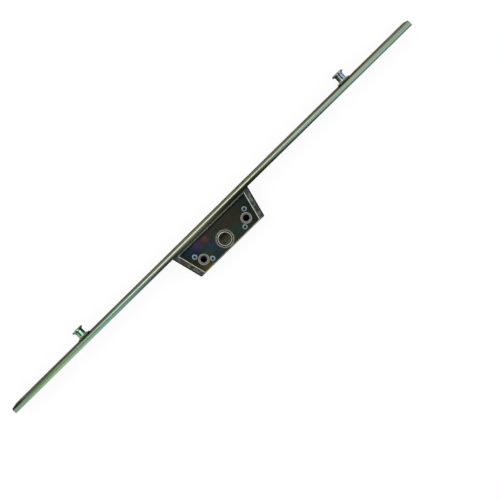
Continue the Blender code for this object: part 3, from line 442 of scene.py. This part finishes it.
# Half the casting's length, and the place behind the front face where it is taken
HALF_AT_FOOT = 37.7
END_LINE_FOOT = -4.0
BLOT_AT = (-33.5 * MM, -12.0 * MM, 0.0)
casting = Finish("pressure-cast zinc", 0.55, grazing=(0.1, 0.1, 0.08, 1.0))
skin = casting.cloud((0.55, 0.35, 0.55), 5.0)
cast_bands = casting.bands(skin, [
    (0.3, tone(34, 46, 42)), (0.43, tone(54, 66, 56)), (0.52, tone(76, 82, 76)),
    (0.62, tone(96, 102, 100)), (0.75, tone(118, 122, 118)),
])
blot = casting.share(casting.from_axis(BLOT_AT, (1.0, 0.6, 0.0)), 3.0, 0.8)
cast_bands = casting.mix(casting.sum("MULTIPLY", blot, 0.6), cast_bands, tone(74, 52, 50))
cool = casting.share(casting.y, -9.0, -5.0)
cast_bands = casting.mix(casting.sum("MULTIPLY", cool, 0.5), cast_bands, tone(66, 76, 90))
from_foot = casting.sum("SUBTRACT", casting.y, END_LINE_FOOT)
slant = casting.sum("MULTIPLY", from_foot, math.tan(END_SLOPE))
half_length = casting.sum("ADD", slant, HALF_AT_FOOT)
end_room = casting.sum("SUBTRACT", half_length, casting.sum("ABSOLUTE", casting.x))
cast_bands = casting.mix(casting.share(end_room, 1.1, 0.3), cast_bands, tone(40, 42, 42))
# A dark band next to the faceplate's flange, painted shade in the gap there
gap_shade = casting.levels(casting.y, [(-5.05, 0.0), (-4.95, 0.9), (-4.2, 0.9), (-3.9, 0.0)])
cast_bands = casting.mix(gap_shade, cast_bands, tone(34, 38, 33))
# A pale line along the ledge on the front, a painted highlight
ledge_highlight = casting.levels(casting.y, [(-5.6, 0.0), (-5.4, 1.0), (-5.2, 1.0), (-5.05, 0.0)])
on_front = casting.both(casting.share(end_room, 3.6, 4.2), casting.share(casting.z, 4.4, 5.0))
cast_bands = casting.mix(casting.both(ledge_highlight, on_front), cast_bands, tone(150, 154, 142))
lug_skin = casting.mix(casting.cloud((1.4, 1.4, 1.4)), tone(24, 22, 18), tone(120, 118, 100))
on_lugs = casting.share(casting.y, -0.9, -0.3)
casting.colour(casting.mix(on_lugs, cast_bands, lug_skin), 0.1, (1.5, 1.5, 1.5))
casting.gloss(casting.cloud((1.2, 1.2, 1.2), 4.0), 0.42, 0.66)
off_ledge_highlight = casting.scaled(ledge_highlight, 1.0, 0.0)
casting.relief(casting.both(off_ledge_highlight, casting.cloud((2.4, 2.4, 2.4), 5.0)), 0.06, 0.6)
gearbox_body = own_shape("gearbox_body", "gearbox_casting")
break_edges(gearbox_body, 0.2)
fit(gearbox_body, "case", "gearbox_body", casting)

# Drive hub
# The zinc hub that the handle's spindle turns: a toothed sector between two round bearings. Its
# rim and outer ring are turned bright, with a painted highlight on the rim's side towards the front
# face and painted shade in the dark ring between them. The square hole is as cast, olive brown and
# dull, with painted shade that darkens it towards the front face.
BACKSET = 20.0
HUB_AXIS = Vector((0.0, -BACKSET, 0.0)) * MM
hub = Finish("bright hub zinc", 0.3)
out_from_hub = hub.from_axis(HUB_AXIS)
# Rings out from the hub's axis; the dark ring between the rim and the outer ring is painted shade
rings = hub.bands(out_from_hub, [
    (3.5, tone(60, 56, 42)), (4.2, tone(70, 66, 52)), (4.7, tone(84, 86, 74)),
    (4.85, tone(158, 164, 150)), (5.15, tone(162, 168, 154)), (5.3, tone(58, 62, 54)),
    (5.4, tone(12, 14, 12)), (6.05, tone(12, 14, 12)), (6.18, tone(160, 168, 154)),
    (6.45, tone(174, 182, 168)),
])
facing = hub.sum("ABSOLUTE", hub.sum("ARCTAN2", hub.x, hub.sum("ADD", hub.y, BACKSET)))
# A painted highlight on the rim, on its side towards the front face
rim_highlight = hub.both(hub.share(facing, 0.9, 0.35), hub.levels(out_from_hub, [
    (4.7, 0.0), (4.85, 1.0), (5.2, 1.0), (5.4, 0.0),
]))
rings = hub.mix(rim_highlight, rings, tone(200, 202, 188))
in_hole = hub.both(hub.share(hub.z, 6.9, 6.4), hub.share(out_from_hub, 5.3, 5.1))
# The hole's olive brown as-cast tone, with painted shade darkening it towards the front face
as_cast_and_shade = hub.bands(hub.y, [
    (-24.0, tone(132, 136, 118)), (-21.5, tone(104, 100, 80)), (-16.0, tone(56, 52, 34)),
])
hub.colour(hub.mix(in_hole, rings, as_cast_and_shade), 0.1, (0.6, 0.6, 0.6))
hub.put(hub.shader.inputs["Metallic"], hub.scaled(in_hole, 1.0, 0.0))
hub.gloss(hub.cloud((1.5, 1.5, 1.5), 3.0), 0.24, 0.42)
hub.relief(hub.cloud((3.0, 3.0, 3.0), 3.0), 0.03, 0.5)
drive_hub = own_shape("drive_hub", "drive_hub_turned")
break_edges(drive_hub, 0.08)
fit(drive_hub, "hub", "drive_hub", hub)

# Cover plate
# A smooth 1.2 mm steel plate that closes the casting, very dark, with blue, wine red, olive and
# green stains from the plating bath. Its sheared edge is bare and bright all round.
low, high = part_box("cover_plate")
RAIL_SIDE = high.y / MM
FAR_SIDE = low.y / MM
HALF_TOP = high.x / MM
STAIN_DRIFT = 7.0
# Each stain's place on the plate in millimetres, its reach, its strength and its colour
PLATING_STAINS = (
    (-24.0, -10.0, 9.0, 0.9, tone(22, 42, 58)), (-17.5, -8.5, 7.0, 0.8, tone(62, 50, 80)),
    (-13.0, -10.5, 6.0, 0.7, tone(64, 46, 48)), (-10.3, -10.2, 4.2, 0.7, tone(96, 54, 36)),
    (-12.0, -17.5, 9.0, 0.8, tone(28, 56, 64)), (-16.5, -20.0, 6.0, 0.8, tone(48, 58, 24)),
    (-29.5, -16.0, 8.0, 0.7, tone(42, 42, 18)), (-23.0, -27.0, 10.0, 0.8, tone(76, 70, 28)),
    (-8.5, -26.5, 8.0, 0.7, tone(36, 50, 46)), (11.5, -22.0, 8.0, 0.8, tone(28, 54, 46)),
    (27.0, -10.0, 9.0, 0.6, tone(24, 42, 36)), (1.0, -11.5, 6.0, 0.6, tone(34, 50, 34)),
)
BARE_EDGE = (0.64, 0.5)
BARE_LESS_ON_SIDES = 0.16
HUB_HOLE_EDGE = (7.06, 6.94)
RAIL_SHADE = (2.6, 0.9)
cover = Finish("dark stained cover steel", 0.24)
drift = cover.scaled(cover.cloud((0.09, 0.09, 0.09), 3.0), -STAIN_DRIFT, STAIN_DRIFT)
stain = cover.bands(cover.sum("ADD", cover.x, drift), [
    (-33, tone(30, 28, 26)), (-24, tone(32, 36, 34)), (-14, tone(36, 46, 48)),
    (-4, tone(48, 46, 46)), (6, tone(46, 44, 38)), (18, tone(46, 44, 34)),
    (27, tone(32, 38, 32)), (33, tone(26, 34, 26)),
], soft=True)
for x, y, reach, strength, colour in PLATING_STAINS:
    near = cover.share(cover.from_axis((x * MM, y * MM, 0.0)), reach, 0.0)
    stain = cover.mix(cover.sum("MULTIPLY", near, strength), stain, colour)
slant = cover.sum("MULTIPLY", cover.sum("SUBTRACT", cover.y, RAIL_SIDE), math.tan(END_SLOPE))
half_length = cover.sum("ADD", slant, HALF_TOP)
end_room = cover.sum("SUBTRACT", half_length, cover.sum("ABSOLUTE", cover.x))
rail_room = cover.sum("SUBTRACT", RAIL_SIDE, cover.y)
side_room = cover.sum("MINIMUM", rail_room, cover.sum("SUBTRACT", cover.y, FAR_SIDE))
side_room = cover.sum("ADD", side_room, BARE_LESS_ON_SIDES)
sheared = cover.share(cover.sum("MINIMUM", end_room, side_room), *BARE_EDGE)
holed = cover.share(cover.from_axis(HUB_AXIS), *HUB_HOLE_EDGE)
bare = cover.bands(cover.cloud((0.3, 0.3, 0.3)), [
    (0.35, tone(168, 172, 156)), (0.65, tone(196, 198, 180)),
])
shaded = cover.share(rail_room, *RAIL_SHADE)
stain = cover.mix(cover.sum("MULTIPLY", shaded, 0.8), stain, tone(14, 16, 16))
stain = cover.mix(holed, stain, tone(170, 178, 162))
cover.colour(cover.mix(sheared, stain, bare), 0.12, (0.5, 0.5, 0.5))
edge_grain = cover.scaled(sheared, 0.0, 0.36)
plate_grain = cover.scaled(cover.cloud((0.5, 0.5, 0.5), 4.0), 0.18, 0.34)
cover.put(cover.shader.inputs["Roughness"], cover.sum("ADD", edge_grain, plate_grain))
off_edge = cover.scaled(sheared, 1.0, 0.0)
cover.relief(cover.both(off_edge, cover.cloud((1.2, 1.2, 1.2), 4.0)), 0.02, 0.4)
cover_plate = own_shape("cover_plate", "cover_plate_sheet")
break_edges(cover_plate, 0.08)
fit(cover_plate, "case", "cover_plate", cover)

# Handle bushes
# Two flanged steel bushes take the handle's M5 screws. They are turned and threaded, pressed
# through cover plate and casting, and plated grey with a violet cast in the countersink.
BUSH_BORE = 2.1
BUSH_BORE_LEAD = 2.35
BUSH_SINK = 3.1
BUSH_SINK_DEPTH = 0.5
BUSH_FLANGE = 4.15
BUSH_FLANGE_HEIGHT = 0.6
BUSH_BARREL = 3.4
THREAD_PITCH = 0.8
THREAD_ROOT = 2.45
THREAD_FROM_BACK = 0.4
# Length without a thread, at both ends together
PLAIN_ENDS = 1.6
BORE_LEAD_DEPTH = 0.9


def face_axis(low, high):
    """A point on the axis of a round piece that runs through the gearbox, from its box's corners."""
    return Vector(((low.x + high.x) / 2, (low.y + high.y) / 2, 0.0))


for label in ("lower", "upper"):
    low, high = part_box("handle_bush_" + label)
    axis_at = face_axis(low, high)
    face, back = high.z / MM, low.z / MM
    bush = Finish("turned bush steel " + label, 0.28)
    out = bush.from_axis(axis_at)
    rings = bush.bands(out, [
        (2.05, tone(14, 12, 14)), (2.25, tone(92, 88, 90)), (2.8, tone(128, 122, 124)),
        (3.08, tone(120, 116, 116)), (3.2, tone(78, 77, 80)), (3.4, tone(82, 81, 82)),
        (3.6, tone(122, 124, 112)), (3.9, tone(140, 142, 122)), (4.2, tone(160, 164, 140)),
    ])
    # The bore painted dark as shade, down from just below the countersink
    bore_shade = bush.both(bush.share(bush.z, face - 0.5, face - 0.8), bush.share(out, 3.2, 2.8))
    bush.colour(bush.mix(bore_shade, rings, tone(8, 6, 8)), 0.1, (0.8, 0.8, 0.8))
    bush.gloss(bush.cloud((1.5, 1.5, 1.5)), 0.22, 0.4)
    bush.relief(bush.sum("SINE", bush.sum("MULTIPLY", out, 40.0)), 0.006, 0.5)
    profile = [(BUSH_BORE_LEAD, back)]
    for groove in range(int((face - back - PLAIN_ENDS) / THREAD_PITCH)):
        start = back + THREAD_FROM_BACK + groove * THREAD_PITCH
        profile += [
            (BUSH_BORE, start), (BUSH_BORE, start + 0.1), (THREAD_ROOT, start + 0.45),
            (BUSH_BORE, start + THREAD_PITCH - 0.05),
        ]
    profile += [
        (BUSH_BORE, face - BORE_LEAD_DEPTH), (BUSH_BORE_LEAD, face - BUSH_SINK_DEPTH), (BUSH_SINK, face),
        (BUSH_FLANGE - 0.1, face), (BUSH_FLANGE, face - 0.1), (BUSH_FLANGE, face - BUSH_FLANGE_HEIGHT),
        (BUSH_BARREL, face - BUSH_FLANGE_HEIGHT), (BUSH_BARREL, back),
    ]
    handle_bush = turned("handle_bush_threaded_" + label, profile, axis_at, UP, ring=True)
    break_edges(handle_bush, 0.05, 1)
    fit(handle_bush, "case", "handle_bush_" + label, bush)

# Cover rivets
# Four zinc rivets hold the cover plate, two beside each bush. A round punch spread each head and
# left a dark dimple in it. They are pale blue grey, and duller beside the upper bush.
RIVET_SHANK = 1.4
RIVET_HEAD = 2.1
RIVET_HEAD_HEIGHT = 0.55
RIVET_TAIL = 2.1
RIVET_TAIL_SINK = 0.7
# The dimple's radii and depths
RIVET_PUNCH_MARK = [(0.0, 0.6), (0.3, 0.55), (0.6, 0.25), (0.75, 0.0)]
for number in (1, 2, 3, 4):
    low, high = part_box("cover_rivet_" + str(number))
    axis_at = face_axis(low, high)
    face, back = high.z / MM, low.z / MM
    spread = Finish("spread rivet zinc " + str(number), 0.4)
    rings = spread.bands(spread.from_axis(axis_at), [
        (0.0, tone(14, 30, 38)), (0.55, tone(24, 46, 56)), (0.95, tone(84, 108, 116)),
        (1.5, tone(118, 144, 148)), (1.9, tone(96, 118, 122)), (2.1, tone(76, 94, 96)),
    ])
    dulled = 0.25 if axis_at.x > 0 else 0.0
    spread.colour(spread.mix(dulled, rings, tone(24, 36, 38)), 0.12, (1.0, 1.0, 1.0))
    spread.gloss(spread.cloud((2.0, 2.0, 2.0)), 0.32, 0.5)
    spread.relief(spread.cloud((3.0, 3.0, 3.0), 3.0), 0.05, 0.5)
    profile = [(radius, face - depth) for radius, depth in RIVET_PUNCH_MARK] + [
        (RIVET_HEAD - 0.75, face), (RIVET_HEAD - 0.35, face - 0.06), (RIVET_HEAD - 0.05, face - 0.25),
        (RIVET_HEAD, face - RIVET_HEAD_HEIGHT), (RIVET_SHANK, face - RIVET_HEAD_HEIGHT),
        (RIVET_SHANK, back + RIVET_TAIL_SINK), (RIVET_TAIL, back), (0.0, back),
    ]
    cover_rivet = turned("cover_rivet_spread_" + str(number), profile, axis_at, UP, SMALL_STEPS)
    break_edges(cover_rivet, 0.04, 1)
    fit(cover_rivet, "case", "cover_rivet_" + str(number), spread)

# Cam washers
# A wide punched steel washer lies under each roller and bridges the slot. It is plated olive
# brown, and worn pale and dull on the face that the roller turns on.
WASHER_RADIUS = 5.45
WASHER_BORE = 2.0
WORN_PALE = tone(176, 176, 152)
for label in ("lower", "upper"):
    low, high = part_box("cam_washer_" + label)
    seat, top = low.y / MM, high.y / MM
    washer = Finish("olive brown washer steel " + label, 0.36)
    aside = washer.sum("SUBTRACT", washer.x, cam_axis(label).x / MM)
    rim_bands = washer.bands(washer.sum("ABSOLUTE", aside), [
        (0.0, tone(24, 46, 30)), (2.4, tone(44, 66, 46)), (3.3, tone(84, 96, 76)),
        (4.0, tone(60, 54, 38)), (4.5, tone(50, 42, 28)), (5.5, tone(56, 48, 32)),
    ])
    worn_face = washer.share(washer.y, top - 0.16, top - 0.06)
    washer.colour(washer.mix(worn_face, rim_bands, WORN_PALE), 0.15, (0.7, 0.7, 0.7))
    washer.put(washer.shader.inputs["Metallic"], washer.scaled(worn_face, 1.0, 0.4))
    washer.gloss(washer.cloud((0.4, 0.4, 0.4), 3.0), 0.26, 0.44)
    washer.relief(washer.cloud((2.0, 2.0, 2.0), 3.0), 0.03, 0.5)
    cam_washer = turned("cam_washer_punched_" + label, [
        (WASHER_BORE, top), (WASHER_RADIUS - 0.25, top), (WASHER_RADIUS, top - 0.2),
        (WASHER_RADIUS, seat), (WASHER_BORE, seat),
    ], cam_axis(label), OUT, ring=True)
    break_edges(cam_washer, 0.05, 1)
    fit(cam_washer, "slide", "cam_washer_" + label, washer)

# Cam rollers
# The turned rollers that run in the frame's keeps: a wide head, a neck with a slight taper under
# it, and a foot. One came out of the bath green, the other lavender. The light and dark stripes
# across each roller are painted highlights and reflections, the head's sides are painted darker as
# shade, and the foot has a painted highlight above a dark line of painted shade at the washer.
ROLLER_BORE = 1.88
ROLLER_SOCKET = 2.4
ROLLER_SOCKET_DEPTH = 1.2
ROLLER_HEAD = 4.6
ROLLER_NECK = 3.2
ROLLER_FOOT = 3.7
# Tones across each roller, in millimetres from its axis: the plating's green or lavender, with
# painted highlights, dark painted reflections along the neck and painted shade on the head's sides
ROLLER_TONES_AND_REFLECTIONS = {
    "lower": [
        (-4.6, tone(50, 42, 28)), (-3.4, tone(54, 46, 30)), (-3.1, tone(54, 78, 46)),
        (-2.4, tone(62, 92, 56)), (-2.0, tone(144, 186, 138)), (-1.0, tone(134, 178, 134)),
        (-0.5, tone(38, 88, 54)), (0.4, tone(28, 76, 44)), (0.85, tone(176, 230, 196)),
        (1.8, tone(164, 214, 182)), (2.3, tone(60, 84, 42)), (3.1, tone(50, 68, 32)),
        (3.4, tone(54, 44, 30)), (4.6, tone(48, 38, 26)),
    ],
    "upper": [
        (-4.6, tone(46, 42, 30)), (-3.4, tone(56, 52, 36)), (-3.1, tone(66, 66, 44)),
        (-1.5, tone(82, 84, 60)), (-1.1, tone(164, 182, 182)), (-0.6, tone(158, 178, 182)),
        (-0.25, tone(30, 46, 66)), (0.5, tone(28, 44, 66)), (0.85, tone(156, 176, 198)),
        (2.0, tone(162, 180, 202)), (2.4, tone(78, 90, 92)), (3.1, tone(60, 66, 62)),
        (3.4, tone(54, 50, 42)), (4.6, tone(48, 44, 38)),
    ],
}
FOOT_HIGHLIGHTS = {"lower": tone(140, 172, 144), "upper": tone(176, 188, 180)}
HEAD_TONES = {
    "lower": (tone(92, 122, 94), tone(140, 172, 142)),
    "upper": (tone(92, 104, 100), tone(140, 154, 158)),
}
for label in ("lower", "upper"):
    low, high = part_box("cam_roller_" + label)
    foot, top = low.y / MM, high.y / MM
    centre = cam_axis(label)
    steel = Finish("passivated roller steel " + label, 0.26)
    aside = steel.sum("SUBTRACT", steel.x, centre.x / MM)
    tones_and_reflections = steel.bands(aside, ROLLER_TONES_AND_REFLECTIONS[label])
    faced = steel.mix(steel.cloud((0.5, 0.5, 0.5), 3.0), *HEAD_TONES[label])
    # A pale band round the foot, a painted highlight
    foot_highlight = steel.levels(steel.y, [
        (foot + 0.2, 0.0), (foot + 0.35, 0.85), (foot + 0.95, 0.85), (foot + 1.15, 0.0),
    ])
    tones_and_reflections = steel.mix(foot_highlight, tones_and_reflections, FOOT_HIGHLIGHTS[label])
    # A dark line at the bottom of the foot, painted shade where it meets the washer
    tones_and_reflections = steel.mix(steel.share(steel.y, foot + 0.3, foot + 0.15), tones_and_reflections, tone(30, 48, 36))
    on_head = steel.share(steel.y, top - 0.25, top - 0.05)
    steel.colour(steel.mix(on_head, tones_and_reflections, faced), 0.08, (0.8, 0.8, 0.8))
    steel.gloss(steel.cloud((1.0, 1.0, 1.0), 3.0), 0.2, 0.36)
    steel.relief(steel.sum("SINE", steel.sum("MULTIPLY", steel.y, 30.0)), 0.004, 0.4)
    cam_roller = turned("cam_roller_turned_" + label, [
        (ROLLER_BORE, top - ROLLER_SOCKET_DEPTH), (ROLLER_SOCKET, top - ROLLER_SOCKET_DEPTH),
        (ROLLER_SOCKET, top), (ROLLER_HEAD - 0.3, top), (ROLLER_HEAD, top - 0.3),
        (ROLLER_HEAD, top - 1.05), (ROLLER_HEAD - 0.3, top - 1.35), (ROLLER_NECK + 0.3, top - 1.6),
        (ROLLER_NECK + 0.08, top - 1.8), (ROLLER_NECK, top - 2.1), (ROLLER_NECK, foot + 1.0),
        (ROLLER_NECK + 0.15, foot + 0.6), (ROLLER_FOOT, foot + 0.4), (ROLLER_FOOT, foot),
        (ROLLER_BORE, foot),
    ], centre, OUT, ring=True)
    break_edges(cam_roller, 0.08)
    fit(cam_roller, "roller_" + label, "cam_roller_" + label, steel)

# Studio
# A white table under a soft white sky, with two large softboxes. Seen directly or in metal the
# table is white, and it keeps a faint shadow of the part. Under the part's holes, where the camera
# sees it through them, it is painted dark as shade, and under the hub's hole it has a faint painted
# warm glow, darker towards the front face.
FLOOR_BELOW = 0.2 * MM
FLOOR_SIDE = 12.0
floor_shape = bmesh.new()
bmesh.ops.create_grid(floor_shape, x_segments=1, y_segments=1, size=FLOOR_SIDE / 2)
bmesh.ops.translate(floor_shape, vec=(0.0, 0.0, cad_box[0].z - FLOOR_BELOW), verts=floor_shape.verts)
floor_mesh = bpy.data.meshes.new("floor")
floor_shape.to_mesh(floor_mesh)
floor_shape.free()
floor = bpy.data.objects.new("floor", floor_mesh)
bpy.context.scene.collection.objects.link(floor)


def off_rectangle(finish, half_length, low, high):
    """Distance in millimetres along the table from a rectangle under the part."""
    along_x = finish.sum("SUBTRACT", finish.sum("ABSOLUTE", finish.x), half_length)
    from_middle = finish.sum("ABSOLUTE", finish.sum("SUBTRACT", finish.y, (low + high) / 2))
    along_y = finish.sum("SUBTRACT", from_middle, (high - low) / 2)
    over = [finish.sum("MAXIMUM", value, 0.0) for value in (along_x, along_y)]
    squares = [finish.sum("MULTIPLY", value, value) for value in over]
    return finish.sum("SQRT", finish.sum("ADD", *squares))


# Rectangles on the table: half the length, and the two sides behind the front face
UNDER_STRIP = (cad_box[1].x / MM, -4.3, 0.0)
UNDER_CASTING = (37.0, cad_box[0].y / MM, 0.0)
UNDER_HOLES = (28.0, -26.0, -12.0)
UNDER_HUB = (5.0, -25.0, -16.0)
WHITE_SHARE = 0.87
WHITE_GLOW = 1.035
HOLE_SHADE_GLOW = 0.004
PAINTED_HUB_GLOW = (0.012, 0.062)
# Millimetres from the part where metal starts to mirror a white table, and where it fully does
WHITE_AROUND = (3.0, 60.0)
table = Finish("white table", 1.0, metallic=0.0)
table.shader.inputs["Specular IOR Level"].default_value = 0.0
rays = table.node("ShaderNodeLightPath").outputs
off_strip = off_rectangle(table, *UNDER_STRIP)
off_casting = off_rectangle(table, *UNDER_CASTING)
past_part = table.share(table.sum("MINIMUM", off_strip, off_casting), *WHITE_AROUND)
under_holes = table.share(off_rectangle(table, *UNDER_HOLES), 2.0, 0.0)
under_hub = table.share(off_rectangle(table, *UNDER_HUB), 1.0, 0.0)
# A faint glow painted under the hub's hole, darker towards the front face
painted_hub_glow = table.scaled(table.share(table.y, -18.5, -24.5), *PAINTED_HUB_GLOW)
mirrored = table.sum("MAXIMUM", rays["Is Glossy Ray"], rays["Is Transmission Ray"])
in_metal = table.both(mirrored, past_part)
around_hub = table.scaled(under_holes, 1.0, HOLE_SHADE_GLOW)
in_hole = table.sum("MAXIMUM", around_hub, table.both(under_hub, painted_hub_glow))
to_camera = table.both(rays["Is Camera Ray"], in_hole)
white = table.sum("MULTIPLY", table.sum("MAXIMUM", to_camera, in_metal), WHITE_SHARE)
# Under the holes the table is painted black for the camera, as shade
hole_shade = table.both(rays["Is Camera Ray"], under_holes)
table.put(table.shader.inputs["Base Color"], table.mix(
    table.sum("MAXIMUM", white, hole_shade), grey(0.85), grey(0.0)))
# The painted glow under the hub's hole is warm
glow_colour = table.mix(under_hub, grey(1.0), tone(255, 250, 204))
table.put(table.shader.inputs["Emission Color"], glow_colour)
table.put(table.shader.inputs["Emission Strength"], table.sum("MULTIPLY", white, WHITE_GLOW))
floor_mesh.materials.append(table.material)

SKY_LIGHT = 0.75
world = bpy.data.worlds.new("soft sky")
world.use_nodes = True
bpy.context.scene.world = world
sky = world.node_tree
path = sky.nodes.new("ShaderNodeLightPath")
seen = path.outputs["Is Camera Ray"]
for other in ("Is Glossy Ray", "Is Transmission Ray"):
    larger = sky.nodes.new("ShaderNodeMath")
    larger.operation = "MAXIMUM"
    sky.links.new(seen, larger.inputs[0])
    sky.links.new(path.outputs[other], larger.inputs[1])
    seen = larger.outputs[0]
strength = sky.nodes.new("ShaderNodeMapRange")
strength.inputs["To Min"].default_value = SKY_LIGHT
strength.inputs["To Max"].default_value = 1.0
sky.links.new(seen, strength.inputs["Value"])
sky.nodes["Background"].inputs["Color"].default_value = grey(1.0)
sky.links.new(strength.outputs["Result"], sky.nodes["Background"].inputs["Strength"])


def softbox(name, size, power, at):
    """A large square lamp aimed at the part."""
    lamp = bpy.data.lights.new(name, "AREA")
    lamp.shape = "SQUARE"
    lamp.size = size
    lamp.energy = power
    holder = bpy.data.objects.new(name, lamp)
    holder.location = at
    holder.rotation_euler = Vector(at).to_track_quat("Z", "Y").to_euler()
    holder.visible_camera = False
    bpy.context.scene.collection.objects.link(holder)


softbox("key softbox", 0.55, 3.6, (-0.17, 0.72, 1.0))
softbox("fill softbox", 0.8, 2.0, (0.8, -0.5, 0.9))

# Camera
# It looks down on the part from a little in front of the faceplate, turned so that the part
# runs from the lower left to the upper right of the square picture.
CAMERA_PLACE = (0.04427, 0.05024, 0.57376)
CAMERA_TURN = (-8.975, -3.58, -44.252)
lens = bpy.data.cameras.new("camera")
lens.sensor_width = 36.0
lens.lens = 57.0
lens.clip_start = 0.01
lens.clip_end = 50.0
camera = bpy.data.objects.new("camera", lens)
camera.location = CAMERA_PLACE
camera.rotation_euler = [math.radians(angle) for angle in CAMERA_TURN]
bpy.context.scene.collection.objects.link(camera)
bpy.context.scene.camera = camera
bpy.context.scene.view_settings.view_transform = "Standard"
